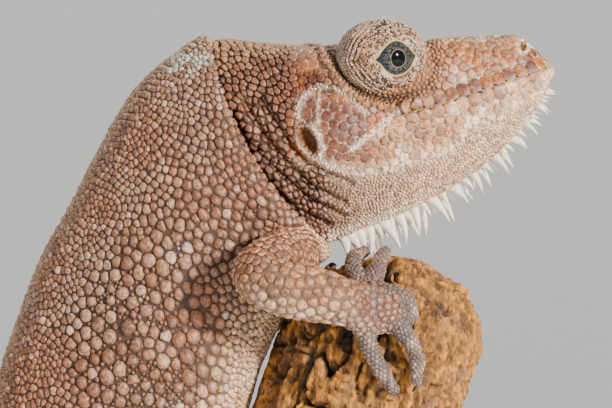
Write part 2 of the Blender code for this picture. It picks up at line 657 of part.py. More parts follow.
def beard():
    """Spines in two close rows along the throat's edge, leaned by turns to the chin and to the chest."""
    spines = []
    sizes = np.interp(np.linspace(0, 1, BEARD_SPINES), np.linspace(0, 1, len(BEARD)), BEARD)
    for k, (at, size) in enumerate(zip(np.linspace(BEARD_FROM, BEARD_TO, BEARD_SPINES), sizes)):
        side = RIGHT if k % 2 else LEFT
        here, ahead = smooth_rows(HEAD_RIBS, at)[0], smooth_rows(HEAD_RIBS, at - 0.2)[0]
        along = unit([ahead[2] - here[2], 0.0, ahead[3] - here[3]])
        out = np.array([along[2], 0.16 * side, -along[0]]) + 0.22 * math.sin(2.4 * k) * along
        root = np.array([here[2], 0.5 * side, here[3]])
        spines.append(spine(root, unit(out), along, size, 0.7 + 0.08 * size))
    return spines


def crest():
    """Low points along the middle of the back."""
    spines = []
    sizes = np.interp(np.linspace(0, 1, CREST_POINTS), np.linspace(0, 1, len(CREST)), CREST)
    for at, size in zip(np.linspace(0.5, len(TRUNK_RIBS) - 1.4, CREST_POINTS), sizes):
        here, ahead = smooth_rows(TRUNK_RIBS, at)[0], smooth_rows(TRUNK_RIBS, at - 0.2)[0]
        along = unit([ahead[0] - here[0], 0.0, ahead[1] - here[1]])
        out = np.array([-along[2], 0.0, along[0]])
        spines.append(spine(np.array([here[0], 0.0, here[1]]), out, along, size, 1.1))
    return spines


def lips(head):
    """A thin rim above and below the line of the mouth, from one corner round the snout to the other."""
    corner, front = (np.array([x, 0.0, z]) for x, z in (MOUTH[5], MOUTH[1]))
    slope = (front[2] - corner[2]) / (front[0] - corner[0])
    bpy.context.view_layer.update()
    rims = []
    for level in (LIP_LEVEL, -LIP_LEVEL):
        start = corner + np.array([0.0, 0.0, level])
        points = []
        for turn in np.radians(np.linspace(-87, 87, LIP_RINGS)):
            way = unit([math.cos(turn), math.sin(turn), slope * math.cos(turn)])
            hit = head.ray_cast(((start + ORIGIN) * MM).tolist(), way.tolist())[1]
            points.append(np.array(hit) / MM - ORIGIN - 0.3 * way)
        taper = np.sqrt(np.sin(np.linspace(0.12, math.pi - 0.12, LIP_RINGS)))
        radii = np.stack([LIP_HEIGHT * taper, LIP_DEPTH * taper], axis=1)
        rims.append(solid("lip", *tube_rings(np.array(points), radii, np.array([0.0, 0.0, 1.0]), 5, False, False)))
    return rims


def head_nodes():
    """The skull with its lids, and the lower jaw and throat with the beard, parted along the mouth."""
    whole = fuse("head", [head_whole(), turret(RIGHT), turret(LEFT)])
    fuse("head", [whole] + lips(whole))
    pits = []
    for side in (RIGHT, LEFT):
        pits.append(pit(EAR * (1, side, 1), EAR_SIZE, EAR_LEAN))
        pits.append(pit(NOSTRIL * (1, side, 1), (NOSTRIL_RADIUS,) * 3, 0.0))
    cut(whole, pits)
    remove(*pits)
    jaw = whole.copy()
    jaw.data = whole.data.copy()
    jaw.name = "jaw"
    bpy.context.scene.collection.objects.link(jaw)
    above, below = jaw_block(GAP / 2), jaw_block(-GAP / 2)
    cut(whole, [above])
    cut(jaw, [below], "INTERSECT")
    remove(above, below)
    dress(whole, SKIN)
    dress(fuse("jaw", [jaw] + beard()), THROAT)


def tail_nodes():
    """The tail runs down the back of the branch, then winds once round it, and is parted into lengths."""
    share = np.linspace(0, 1, TAIL_RINGS)
    rows = smooth_rows(TAIL, np.interp(share, TAIL[:, 0], np.arange(len(TAIL))))
    depth, turn, clear = rows[:, 1], np.radians(rows[:, 2]), rows[:, 3]
    radii = rows[:, 4:6]
    points = branch_point(depth, turn, clear + radii[:, 0])
    radial = np.cos(turn)[:, None] * AXIS_OUT + np.sin(turn)[:, None] * AXIS_SIDE
    last = TRUNK_RIBS[-1]
    spine = unit([last[0] - last[2], 0.0, last[1] - last[3]])
    blend = np.clip(share / 0.16, 0, 1)[:, None]
    normal = unit((1 - blend) * spine + blend * radial)
    points[0] = bowed_middle(last) + GAP * backwards(last)
    radii[0] = np.hypot(last[0] - last[2], last[1] - last[3]) / 2, last[4]
    tangent = unit(np.gradient(points, axis=0))
    tangent[0] = backwards(last)
    for k in range(len(TAIL_CUTS) - 1):
        low, high = (round(c * (TAIL_RINGS - 1)) for c in TAIL_CUTS[k:k + 2])
        part = slice(low, high + 1)
        path = points[part].copy()
        if k:
            path[0] += GAP * tangent[low]
        tip = k == len(TAIL_CUTS) - 2
        rings, poles = tube_rings(path, radii[part], normal[part], TAIL_SIDES, False, tip, tangent[part])
        dress(solid(f"tail_{k + 1}", rings, poles), SKIN)


def limb_nodes(side, word, body, perch):
    """The fore and hind limbs of one side, each cut clear of what it grows from."""
    outwards = np.array([0.0, side, 0.0])
    drop = LEFT_ARM_DROP if side == LEFT else 0.0
    upper, upper_radii = arm_points(UPPER_ARM, side, (0.0, 0.25 * drop))
    fore, fore_radii = arm_points(FOREARM, side, (0.3 * drop, drop))
    forearm = limb(f"forearm_{word}", fore, fore_radii, outwards)
    forearm_room = limb("room", fore, fore_radii, outwards, grow=GAP)
    arm = limb(f"upper_arm_{word}", upper, upper_radii, outwards)
    cut(arm, [*body, perch, forearm_room])
    depth = PALM_DEPTH + drop
    hand = paw(f"hand_{word}", fore[-1] + 0.3 * (fore[-1] - fore[-2]), ((3.4, 4.0), (2.6, 4.6), (2.0, 3.8)),
               depth, -side * math.radians(PALM_TURN), HAND_DIGITS, side, HAND_THICK,
               [forearm_room, perch])
    cut(forearm, [*body, perch])
    remove(forearm_room)

    drop = LEFT_LEG_DROP if side == LEFT else 0.0
    upper, upper_radii = leg_points(THIGH, side, (0.3 * drop, drop))
    lower, lower_radii = leg_points(SHANK, side, (drop, drop))
    shank = limb(f"shank_{word}", lower, lower_radii, outwards)
    shank_room = limb("room", lower, lower_radii, outwards, grow=GAP)
    thigh = limb(f"thigh_{word}", upper, upper_radii, outwards)
    cut(thigh, [body[0], shank_room])
    depth = SOLE_DEPTH + drop
    foot = paw(f"foot_{word}", lower[-1] + 0.3 * (lower[-1] - lower[-2]), ((2.4, 2.8), (2.2, 3.9), (1.8, 3.6)),
               depth, -side * math.radians(SOLE_TURN), FOOT_DIGITS, side, FOOT_THICK,
               [shank_room, perch])
    cut(shank, [body[0], perch])
    remove(shank_room)
    for part in (arm, forearm, hand, thigh, shank, foot):
        dress(part, SKIN)


def turned(name, profile, sides, finish):
    """A form turned about a vertical axis from radius and height pairs, standing on the floor's level."""
    turn = np.linspace(0, 2 * math.pi, sides, endpoint=False)
    x, radii, heights = profile
    rings = [np.stack([x + r * np.cos(turn), r * np.sin(turn), np.full(sides, z)], 1)
             for r, z in zip(radii, heights)]
    poles = [(x, 0.0, heights[0]), (x, 0.0, heights[-1])]
    return dress(solid(name, rings, poles), finish)


def stand_nodes():
    floor = -ORIGIN[2]
    top = floor + BASE_HEIGHT
    turned("stand_base", (-ORIGIN[0], (BASE_RADIUS, BASE_RADIUS, BASE_RADIUS - BASE_BEVEL),
                          (floor, top - BASE_BEVEL, top)), 48, PLINTH)
    turned("stand_rod", (ROD_X, (ROD_RADIUS, ROD_RADIUS), (top + GAP, BRANCH_FOOT - GAP)), 20, STEEL)


def main():
    clear_scene()
    perch = branch()
    perch_room = branch("perch_room", GAP)
    body = (torso("torso_room", GAP), throat_room())
    head_nodes()
    eye(RIGHT, "eye_right")
    eye(LEFT, "eye_left")
    dress(neck(), SKIN)
    dress(cut(fuse("torso", [torso()] + crest()), [perch_room]), SKIN)
    tail_nodes()
    for side, word in ((RIGHT, "right"), (LEFT, "left")):
        limb_nodes(side, word, body, perch_room)
    dress(perch, WOOD)
    remove(*body, perch_room)
    stand_nodes()


main()
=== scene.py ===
"""A large bearded Cuban anole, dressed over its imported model: skin, scales, eyes, claws, perch and stand.

Shapes are worked out in millimetres from the same origin as the solids, level with the chest and inside the
throat, and become metres when a mesh is made. +X is the way the head points, +Z is up and -Y is the animal's
right. A place read from the side view is given in the photograph's pixels.
"""

import functools
import math

import bpy
import numpy as np
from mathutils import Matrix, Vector
from mathutils.bvhtree import BVHTree
from mathutils.kdtree import KDTree


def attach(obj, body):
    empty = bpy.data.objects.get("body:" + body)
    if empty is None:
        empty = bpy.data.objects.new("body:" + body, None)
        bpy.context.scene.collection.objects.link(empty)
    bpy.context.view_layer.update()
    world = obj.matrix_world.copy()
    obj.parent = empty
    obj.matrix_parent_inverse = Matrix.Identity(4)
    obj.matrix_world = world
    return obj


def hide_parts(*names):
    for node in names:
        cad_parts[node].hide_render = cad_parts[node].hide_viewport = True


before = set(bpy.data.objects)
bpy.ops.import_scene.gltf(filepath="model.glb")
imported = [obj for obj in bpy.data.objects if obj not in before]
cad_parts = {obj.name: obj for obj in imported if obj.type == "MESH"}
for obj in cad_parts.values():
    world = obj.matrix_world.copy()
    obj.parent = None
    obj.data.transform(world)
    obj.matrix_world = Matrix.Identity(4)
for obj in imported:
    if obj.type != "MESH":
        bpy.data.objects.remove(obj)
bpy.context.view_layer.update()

bl_info = {
    "name": "Bearded Anole Model",
    "version": (1, 0, 0),
    "blender": (4, 5, 0),
    "location": "View3D > Sidebar > Anole",
    "description": "Skin, scales, eyes, perch and stand of a life-size anole",
    "category": "Object",
}

MM = 0.001
ORIGIN = np.array([15.0, 0.0, 196.0])
PIXEL, CENTRE_X, CENTRE_Y, CAMERA_AWAY = 0.172, 306.0, 204.0, 600.0
RIGHT, LEFT = -1, 1
SIDES = ((RIGHT, "right"), (LEFT, "left"))
GAP = 0.3

# Rows of ribs: dorsal x, z, ventral x, z, half width, level of the greatest width, squareness above and
# below it, and how far the rib bows backwards.
HEAD_RIBS = np.array([
    (41.1, 24.6, 41.9, 21.3, 2.4, 0.50, 2.2, 2.20, 0.0),
    (39.9, 25.9, 41.5, 19.4, 4.2, 0.50, 2.3, 2.20, 0.0),
    (38.2, 27.7, 40.4, 17.4, 5.6, 0.52, 2.5, 2.10, 0.0),
    (36.1, 29.2, 38.5, 14.6, 6.8, 0.54, 2.6, 2.00, 0.0),
    (33.4, 29.4, 35.8, 11.4, 7.8, 0.56, 2.7, 1.90, 0.0),
    (29.6, 29.2, 32.3, 7.9, 8.9, 0.57, 2.8, 1.80, 0.0),
    (25.1, 29.0, 28.2, 4.6, 9.9, 0.57, 2.9, 1.75, 0.0),
    (20.5, 28.7, 23.7, 1.7, 10.9, 0.56, 3.0, 1.70, 0.0),
    (15.8, 28.6, 19.6, -0.5, 11.7, 0.55, 3.0, 1.65, 0.0),
    (11.0, 28.4, 15.8, -2.4, 12.5, 0.54, 2.9, 1.65, 0.3),
    (5.8, 28.0, 12.4, -3.8, 13.1, 0.53, 2.8, 1.65, 0.8),
    (1.0, 27.7, 9.6, -4.8, 13.2, 0.52, 2.7, 1.70, 1.4),
    (-3.4, 27.5, 7.6, -5.7, 12.6, 0.51, 2.5, 1.75, 2.0),
    (-7.9, 27.7, 6.0, -6.2, 11.9, 0.50, 2.3, 1.80, 2.6),
    (-12.0, 28.2, 5.0, -6.5, 11.7, 0.50, 2.1, 1.90, 3.2),
    (-16.0, 28.6, 4.3, -6.9, 12.0, 0.50, 2.0, 2.00, 3.8),
])
TRUNK_RIBS = np.array([
    (-16.9, 28.9, 4.1, -7.7, 11.6, 0.50, 1.90, 2.1, 3.8),
    (-21.0, 26.8, 3.4, -9.3, 12.8, 0.50, 1.85, 2.2, 3.4),
    (-26.1, 23.4, 1.0, -11.7, 13.3, 0.50, 1.80, 2.2, 2.8),
    (-30.8, 18.2, -1.5, -15.3, 13.6, 0.50, 1.80, 2.2, 2.0),
    (-35.4, 10.3, -3.8, -19.6, 13.8, 0.50, 1.80, 2.2, 1.2),
    (-40.6, 0.2, -6.0, -24.3, 14.0, 0.50, 1.80, 2.2, 0.6),
    (-45.6, -8.8, -7.7, -28.2, 14.1, 0.50, 1.80, 2.2, 0.2),
    (-49.2, -18.2, -8.9, -32.3, 14.1, 0.50, 1.80, 2.2, 0.0),
    (-52.6, -27.9, -10.3, -37.2, 13.8, 0.50, 1.80, 2.2, 0.0),
    (-54.9, -37.2, -12.0, -42.7, 13.1, 0.50, 1.80, 2.2, 0.0),
    (-55.6, -45.8, -14.8, -48.7, 12.0, 0.50, 1.85, 2.2, 0.0),
    (-54.4, -54.4, -18.6, -54.9, 10.6, 0.50, 1.90, 2.2, 0.0),
    (-51.9, -61.2, -23.4, -60.9, 9.2, 0.50, 1.95, 2.1, 0.0),
    (-50.1, -67.3, -28.6, -66.7, 7.9, 0.50, 2.00, 2.0, 0.0),
    (-48.8, -72.9, -32.7, -72.2, 6.6, 0.50, 2.00, 2.0, 0.0),
])
# Rings before the trunk's first rib: how far each is drawn in, and how far back it lies.
TRUNK_CURL = ((0.30, 0.0), (0.25, 1.2), (0.16, 0.75), (0.10, 0.15), (0.05, -0.15), (0.02, -0.12))
RIDGE_TURN, RIDGE_SPREAD, RIDGE_HEIGHT = math.radians(38), math.radians(15), 1.3
TROUGH_SPREAD, TROUGH_DEPTH = math.radians(20), 1.0
CROWN_MIDDLE, CROWN_SPREAD = 6.5, 4.0
CHEEK_X, CHEEK_Z, CHEEK_LENGTH, CHEEK_RISE, CHEEK_SWELL = 5.5, 12.5, 5.0, 6.0, 0.9
MOUTH = np.array([(50.0, 26.6), (40.9, 23.5), (35.9, 21.4), (29.9, 19.3), (23.0, 17.0), (14.8, 14.6)])
TURRET = np.array([13.0, 8.2, 24.9])
DOME_DEEP, DOME_LONG, DOME_HIGH, EYE_RADIUS = 7.4, 7.7, 6.6, 6.5
GAZE, GAZE_DROP = math.radians(20.0), math.radians(3.3)
SLIT_RADIUS, SLIT_CORNERS, CORNER_SHARP = 3.24, (0.85, 0.95), 0.15
DOME_END, DOME_BACK = math.radians(152), math.radians(174)
EAR, EAR_SIZE, EAR_LEAN = np.array([0.4, 10.7]), (1.3, 2.6), math.radians(29)
NOSTRIL = np.array([37.1, 26.9])
LABIALS_END = 40.7

# The branch: its axis leans towards the head, and its top is a worn dome that slopes down at the back.
AXIS_POINT, AXIS_DEPTH = np.array([8.8, 0.0, -34.7]), 27.5
AXIS_UP = np.array([0.3256, 0.0, 0.9455])
AXIS_OUT = np.array([0.9455, 0.0, -0.3256])
AXIS_SIDE = np.array([0.0, 1.0, 0.0])
BRANCH_RADIUS, DOME_DEPTH, DOME_POWER = 16.6, 14.0, 2.2
BRANCH_FOOT = -171.0

# The tail: share of its length, depth on the branch, turn in degrees, clearance, half height, half width.
TAIL = np.array([
    (0.00, 79.4, 180.0, 9.40, 8.00, 6.60),
    (0.10, 95.0, 181.0, 7.20, 6.40, 5.40),
    (0.20, 109.0, 189.0, 4.20, 5.40, 4.60),
    (0.30, 120.5, 207.0, 1.60, 4.70, 4.10),
    (0.42, 129.0, 244.0, 0.50, 4.00, 3.50),
    (0.56, 135.5, 300.0, 0.50, 3.30, 2.90),
    (0.70, 141.0, 360.0, 0.50, 2.60, 2.30),
    (0.84, 146.5, 420.0, 0.50, 1.90, 1.70),
    (0.94, 151.0, 462.0, 0.50, 1.30, 1.20),
    (1.00, 154.0, 487.0, 0.50, 0.90, 0.80),
])

# A digit: start up the branch and forwards from the palm's middle, heading from up the branch towards the
# front in degrees, bend of that heading along it, length and arch.
HAND_DIGITS = (
    (3.0, -2.4, -52, 24, 12.0, 0.2),
    (2.8, -0.8, -10, -12, 11.0, 0.2),
    (2.6, 0.6, 62, 95, 6.8, 1.1),
    (-0.4, 2.4, 103, 66, 12.3, 1.0),
    (-2.8, 0.2, 152, -26, 11.5, 0.9),
)
FOOT_DIGITS = (
    (1.6, -3.2, -55, 25, 7.5, 0.3),
    (2.8, -1.6, -18, 25, 11.0, 0.5),
    (3.0, 0.4, 12, 25, 14.0, 0.7),
    (2.2, 2.2, 42, 25, 17.0, 0.8),
    (-1.4, 2.6, 105, 30, 11.0, 0.5),
)
HAND_THICK, FOOT_THICK, DIGIT_TAPER = 1.9, 1.7, 0.3
CLAW_LENGTH, CLAW_RADIUS = 2.3, 0.6
HAND_PALM, FOOT_PALM = ((3.4, 4.0), (2.6, 4.6), (2.0, 3.8)), ((2.4, 2.8), (2.2, 3.9), (1.8, 3.6))

# Limbs of the animal's right: points x, y outwards, z, half thickness and half width.
UPPER_ARM = ((-3.2, 5.0, -7.4, 4.8, 4.8), (-2.6, 11.5, -8.6, 5.1, 5.1), (-4.8, 17.0, -9.6, 5.2, 5.0),
             (-7.4, 20.6, -11.4, 5.2, 5.0))
FOREARM = ((-7.2, 21.8, -12.4, 4.9, 4.6), (-3.6, 22.6, -13.9, 5.0, 4.9), (1.0, 22.5, -14.9, 4.6, 4.8),
           (5.2, 22.2, -16.0, 4.2, 4.2))
PALM_DEPTH, PALM_TURN = 10.7, -102.0
LEFT_ARM_DROP = 7.0
# Hind limbs, as points out from the branch's axis, y outwards, depth, half thickness and half width.
THIGH = ((-34.0, 4.5, 68.0, 5.8, 6.0), (-31.5, 12.0, 68.5, 5.8, 6.4), (-26.5, 19.5, 65.5, 4.8, 5.4),
         (-22.0, 24.0, 62.0, 4.2, 4.5))
SHANK = ((-20.5, 24.6, 64.0, 4.0, 4.1), (-17.0, 25.4, 70.5, 4.1, 4.4), (-12.5, 24.2, 78.0, 3.2, 3.5),
         (-9.0, 21.8, 84.5, 2.6, 2.9))
SOLE_DEPTH, SOLE_TURN = 87.5, -97.0
LEFT_LEG_DROP = 5.0

ROD_RADIUS, ROD_X = 4.0, -37.5
BASE_RADIUS, BASE_HEIGHT = 54.0, 8.0

# Lengths of the beard's spines from the chin back, and heights of the crest from the nape to the tail.
BEARD, BEARD_COUNT = (1.5, 2.4, 3.2, 3.9, 4.1, 3.9, 2.9), 58
CREST, CREST_COUNT = (0.6, 0.9, 1.1, 1.1, 1.0, 0.8, 0.5), 72

# Curves of the head's side, in the photograph's pixels: the white lines round the cheek, the fold below the
# mouth's corner, the line over the upper labials, the lower edge of the jaw's plates and the neck's folds.
CHEEK_LINES = (
    ((298, 117), (299, 104), (304, 96), (313, 89), (320, 86), (327, 87)),
    ((336, 87), (345, 94), (354, 102), (366, 113)),
    ((320, 88), (318.5, 103), (317.5, 115), (319, 128), (322, 142), (325, 150)),
)
CORNER_FOLD = ((402, 109), (390, 116), (380, 127), (365, 139), (352, 149))
LABIAL_LINE = ((398, 110), (420, 101), (441, 91), (455.5, 83), (478, 74.5), (492, 69), (511, 65), (528, 62))
EAR_RIM = ((314, 126), (318, 140), (319, 152), (323, 163), (345, 170))
JAW_EDGE = ((330, 166), (345, 170), (372, 172), (411, 161), (450, 148), (467, 132), (489, 119), (505, 112),
            (517, 103), (539, 87), (556, 70))
NECK_FOLDS = (
    ((262, 100), (279, 126), (293, 148), (307, 162), (325, 172), (352, 183)),
    ((247, 104), (266, 136), (288, 162), (312, 185), (345, 202)),
    ((233, 112), (247, 138), (267, 160), (287, 178), (310, 198), (343, 214)),
    ((212, 60), (222, 96), (237, 128), (254, 158), (274, 186), (299, 209), (328, 223)),
)

SEED = 41
SCALE_SINK = 0.14
PATCH_HALF, PATCH_RINGS = 0.0015, (1.0, 0.8, 0.55, 0.3)
# The golden ratio's step and its two in the plane, and the share of its size's square that a scale fills.
GOLDEN, GOLDEN_STEPS, SHARE_OF_SQUARE = 0.618034, (0.7548776662466927, 0.5698402909980532), 0.866
# A seed settles on the skin if it is as near, in millimetres, and faces as much the same way.
SETTLE_AWAY, SETTLE_AGREE = 0.55, 0.55
FILL_CELL, FILL_SHARE = 2.5, 0.8
LID_REGION, LID_RIM = 20, 0.10
CORNEA_RADIUS, CORNEA_RISE = 3.6, 0.3
PUPIL_TALL, PUPIL_NARROW = 1.34, 0.92


def srgb(red, green, blue):
    """Display values turned to linear ones: a straight foot below 0.04, then a power of 2.4."""
    value = np.array([red, green, blue], float)
    return np.where(value <= 0.04045, value / 12.92, ((value + 0.055) / 1.055) ** 2.4)


def unit(vectors):
    """Each vector over its length."""
    vectors = np.asarray(vectors, float)
    return vectors / np.maximum(np.linalg.norm(vectors, axis=-1, keepdims=True), 1e-12)


def ease(value, low, high):
    """0 below the low value, 1 above the high one, and a smooth step 3t^2 - 2t^3 between."""
    t = np.clip((np.asarray(value, float) - low) / (high - low), 0, 1)
    return t * t * (3 - 2 * t)


def size_of(name):
    """A length among the settings, in millimetres."""
    return getattr(bpy.context.scene.anole_sizes, name) / MM


def bell(value, middle, width):
    """1 at the middle, falling off by the exponential of minus the square of the distance over the width."""
    return np.exp(-((value - middle) / width) ** 2)


def circle(count):
    """Even turns round a circle, in radians."""
    return np.linspace(0, 2 * math.pi, count, endpoint=False)


def corner_turns(sides):
    """Turns of the corners of a scale or spine, in radians."""
    return np.arange(sides) * 2 * math.pi / sides


def noise(points, size, seed):
    """Value noise from -1 to 1: a hashed number at each corner of a lattice, blended by a smooth step."""
    place = np.asarray(points, float) / size
    cell = np.floor(place).astype(np.int64)
    t = place - cell
    t = t * t * (3 - 2 * t)
    total = 0.0
    for corner in np.ndindex(2, 2, 2):
        h = (cell[..., 0] + corner[0]) * 73856093 ^ (cell[..., 1] + corner[1]) * 19349663
        h = h ^ (cell[..., 2] + corner[2]) * 83492791 ^ (seed * 2654435761 + 97)
        h = ((h ^ (h >> 13)) * 1274126177) & 0xFFFFFFFF
        h = (h ^ (h >> 16)) & 0xFFFFFF
        weight = 1.0
        for axis in range(3):
            weight = weight * (t[..., axis] if corner[axis] else 1 - t[..., axis])
        total = total + weight * (h / 0x7FFFFF - 1.0)
    return total


def smooth_rows(rows, at):
    """Rows read at fractional places by a Catmull-Rom spline, which passes through every row."""
    rows = np.asarray(rows, float)
    at = np.clip(np.atleast_1d(np.asarray(at, float)), 0, len(rows) - 1)
    low = np.minimum(at.astype(int), len(rows) - 2)
    t = (at - low)[:, None]
    before, start, end, after = (rows[np.clip(low + k, 0, len(rows) - 1)] for k in (-1, 0, 1, 2))
    return 0.5 * (2 * start + (end - before) * t + (2 * before - 5 * start + 4 * end - after) * t ** 2
                  + (3 * start - before - 3 * end + after) * t ** 3)


def in_photo(points):
    """Where a point of either side shows in the side view, in pixels, by the camera's perspective."""
    scale = CAMERA_AWAY / (CAMERA_AWAY - np.abs(points[..., 1]))
    x, z = points[..., 0] * scale / PIXEL, points[..., 2] * scale / PIXEL
    return np.stack([x + CENTRE_X, CENTRE_Y - z], -1)


def from_line(spots, line, signed=False):
    """Distance from each flat place to a line of segments, by its side of the line where a sign is asked."""
    line = np.asarray(line, float)
    best = np.full(spots.shape[:-1], 1e9)
    side = np.zeros(spots.shape[:-1])
    for start, end in zip(line[:-1], line[1:]):
        along = end - start
        share = np.clip(((spots - start) @ along) / (along @ along), 0, 1)
        off = spots - start - share[..., None] * along
        away = np.hypot(off[..., 0], off[..., 1])
        turn = along[0] * (spots[..., 1] - start[1]) - along[1] * (spots[..., 0] - start[0])
        side = np.where(away < best, np.sign(turn), side)
        best = np.minimum(best, away)
    return best * side if signed else best


def near_line(spots, line, width):
    """1 on a line of segments, falling off at each side of it."""
    return bell(from_line(spots, line), 0, width)


def bump_at(spots, x, y, wide, high):
    """1 in the middle of an ellipse and 0 at its edge and outside, by a smooth step."""
    away = np.hypot((spots[..., 0] - x) / wide, (spots[..., 1] - y) / high)
    return 1 - ease(away, 0.75, 1.15)


# Tables of surfaces: rings of points, read at a share of the length and a share of the way round.
def even_round(rings):
    """Each ring's points moved along it to equal steps, its first point kept."""
    closed = np.concatenate([rings, rings[:, :1]], axis=1)
    steps = np.cumsum(np.linalg.norm(np.diff(closed, axis=1), axis=2), axis=1)
    share = np.linspace(0, 1, rings.shape[1], endpoint=False)
    made = []
    for run, ring in zip(np.concatenate([np.zeros((len(rings), 1)), steps], axis=1), closed):
        made.append(np.stack([np.interp(share * run[-1], run, ring[:, axis]) for axis in range(3)], 1))
    return np.stack(made)


def run_of(steps):
    """The way gone at each point, from the steps between them."""
    return np.concatenate([[0.0], np.cumsum(steps)])


def even_along(table, rows):
    """A table read at rows whose rings' middles are equal steps apart."""
    run = run_of(np.linalg.norm(np.diff(table, axis=0), axis=2).mean(axis=1))
    at = np.interp(np.linspace(0, run[-1], rows), run, np.arange(len(table)))
    low = np.minimum(at.astype(int), len(table) - 2)
    t = (at - low)[:, None, None]
    return (1 - t) * table[low] + t * table[low + 1]


def read(table, u, v):
    """The table between its points, by the blend of the four round the place."""
    rows, cols = table.shape[:2]
    a = np.clip(u, 0, 1) * (rows - 1)
    i = np.minimum(a.astype(int), rows - 2)
    a = (a - i)[..., None]
    b = np.mod(v, 1.0) * cols
    j = np.minimum(b.astype(int), cols - 1)
    b = (b - j)[..., None]
    k = (j + 1) % cols
    return ((1 - a) * ((1 - b) * table[i, j] + b * table[i, k])
            + a * ((1 - b) * table[i + 1, j] + b * table[i + 1, k]))


def places(rows, cols):
    """Shares of the length and of the way round for a table of so many rows and columns."""
    return np.meshgrid(np.linspace(0, 1, rows), np.arange(cols) / cols, indexing="ij")


def slopes(table):
    """How far the surface goes for a whole share of its length and of the way round, at each point."""
    along = np.gradient(table, axis=0) * (len(table) - 1)
    wrapped = np.concatenate([table[:, -1:], table, table[:, :1]], axis=1)
    around = (wrapped[:, 2:] - wrapped[:, :-2]) * 0.5 * table.shape[1]
    return along, around


def normals_of(table):
    """Unit normals at a table's points, from the cross of its two slopes."""
    along, around = slopes(table)
    return unit(np.cross(along, around))


def outwards(table):
    """The same table, turned the other way round if its normals point in."""
    middle = table.mean(axis=1, keepdims=True)
    if np.sum((table - middle) * normals_of(table)) < 0:
        table = np.concatenate([table[:, :1], table[:, :0:-1]], axis=1)
    return table


def rib_rings(rows, at, turn, grow):
    """Rings of ribs: from the dorsal point a superellipse goes down each side, |cos| and |sin| of the turn
    to the power 2 over the squareness, bowed back by 4 times the bow times share times 1 less share."""
    dx, dz, vx, vz, width, level, above, below, bow = smooth_rows(rows, at).T[:, :, None]
    grow = np.reshape(np.broadcast_to(grow, (len(at),)), (-1, 1))
    c, s = np.cos(turn)[None], np.sin(turn)[None]
    length = np.hypot(vx - dx, vz - dz)
    down_x, down_z = (vx - dx) / length, (vz - dz) / length
    level = level * length
    square = np.where(c > 0, above, below)
    reach = np.where(c > 0, level, length - level) + grow
    drop = level - np.sign(c) * np.abs(c) ** (2 / square) * reach
    side = -np.sign(s) * np.abs(s) ** (2 / square) * (width + grow)
    share = np.clip(drop / length, 0, 1)
    bend = 4 * bow * share * (1 - share)
    return np.stack([dx + drop * down_x + bend * down_z, side, dz + drop * down_z - bend * down_x], -1)


def mouth_height(points):
    """How far a point lies above the line of the mouth, square to it, in millimetres."""
    return -from_line(points[..., [0, 2]], MOUTH, True)


def eye_frame(side):
    """The axes of an eye: the gaze, forwards along the slit and up."""
    drop, fall = math.cos(GAZE_DROP), math.sin(GAZE_DROP)
    gaze = np.array([drop * math.sin(GAZE), drop * side * math.cos(GAZE), -fall])
    forward = np.array([math.cos(GAZE), -side * math.sin(GAZE), 0.0])
    return gaze, forward, np.array([fall * math.sin(GAZE), fall * side * math.cos(GAZE), drop])


def eye_off(points):
    """How far points lie from the middle of their side's eye, along its gaze, forwards and up."""
    side = np.where(points[..., 1:2] < 0, -1.0, 1.0)
    off = points * np.concatenate([np.ones_like(side), side, np.ones_like(side)], -1) - TURRET
    return tuple(off @ axis for axis in eye_frame(LEFT))


def from_dome(points):
    """How far out a point is from its side's gaze, where 1 is the edge of the lids' dome, and the share of
    that way that is backwards and down."""
    _, forward, up = eye_off(points)
    out = np.hypot(forward / DOME_LONG, up / DOME_HIGH)
    return out, (-forward - 0.8 * up) / np.maximum(np.hypot(forward, up), 1e-6)


def in_dome(points):
    """1 on the ellipsoid of its side's dome of lids and less inside it."""
    deep, forward, up = eye_off(points)
    return np.sqrt((deep / DOME_DEEP) ** 2 + (forward / DOME_LONG) ** 2 + (up / DOME_HIGH) ** 2)


def in_ear(points):
    """Distance from the middle of the ear's opening, where 1 is its edge."""
    x, z = points[..., 0] - EAR[0], points[..., 2] - EAR[1]
    cos, sin = math.cos(EAR_LEAN), math.sin(EAR_LEAN)
    return np.hypot((x * cos + z * sin) / EAR_SIZE[0], (z * cos - x * sin) / EAR_SIZE[1])


def from_nostril(points):
    """Distance from the nostril's middle, in its own half height: it is taller than it is wide."""
    return np.hypot((points[..., 0] - NOSTRIL[0]) / 0.78, points[..., 2] - NOSTRIL[1])


def head_relief(points):
    """Heights added to the head's skin: the mouth's groove, the moat and folds round the lids, the pits of
    the ears and nostrils, the ridges round the cheek and the folds of the neck."""
    spots = in_photo(points)
    above = mouth_height(points)
    in_mouth = ease(points[..., 0], 14.2, 16.5)
    relief = -0.55 * in_mouth * bell(above, 0, 0.3)
    relief += 0.18 * in_mouth * bell(np.abs(above), 0.9, 0.5)
    out, behind = from_dome(points)
    back = ease(behind, -0.5, 0.9)
    relief -= (0.5 + 0.7 * back) * bell(out, 1.03, 0.10)
    relief += back * (0.45 * bell(out, 1.24, 0.08) - 0.35 * bell(out, 1.36, 0.05))
    ear = in_ear(points)
    relief -= 2.0 * (1 - ease(ear, 0.35, 1.1))
    relief += 0.35 * bell(ear, 1.35, 0.22)
    nose = from_nostril(points)
    relief -= 1.1 * (1 - ease(nose, 0.3, 0.85)) - 0.22 * bell(nose, 1.0, 0.3)
    for line in CHEEK_LINES[:2]:
        relief += 0.22 * near_line(spots, line, 3.5)
    relief += 0.6 * near_line(spots, CORNER_FOLD, 3.6)
    for line, deep in zip(NECK_FOLDS, (0.9, 0.8, 0.9, 1.0)):
        away = from_line(spots, line)
        relief += -deep * bell(away, 0, 2.8) + 0.3 * deep * bell(away, 6.5, 3.0)
    return relief


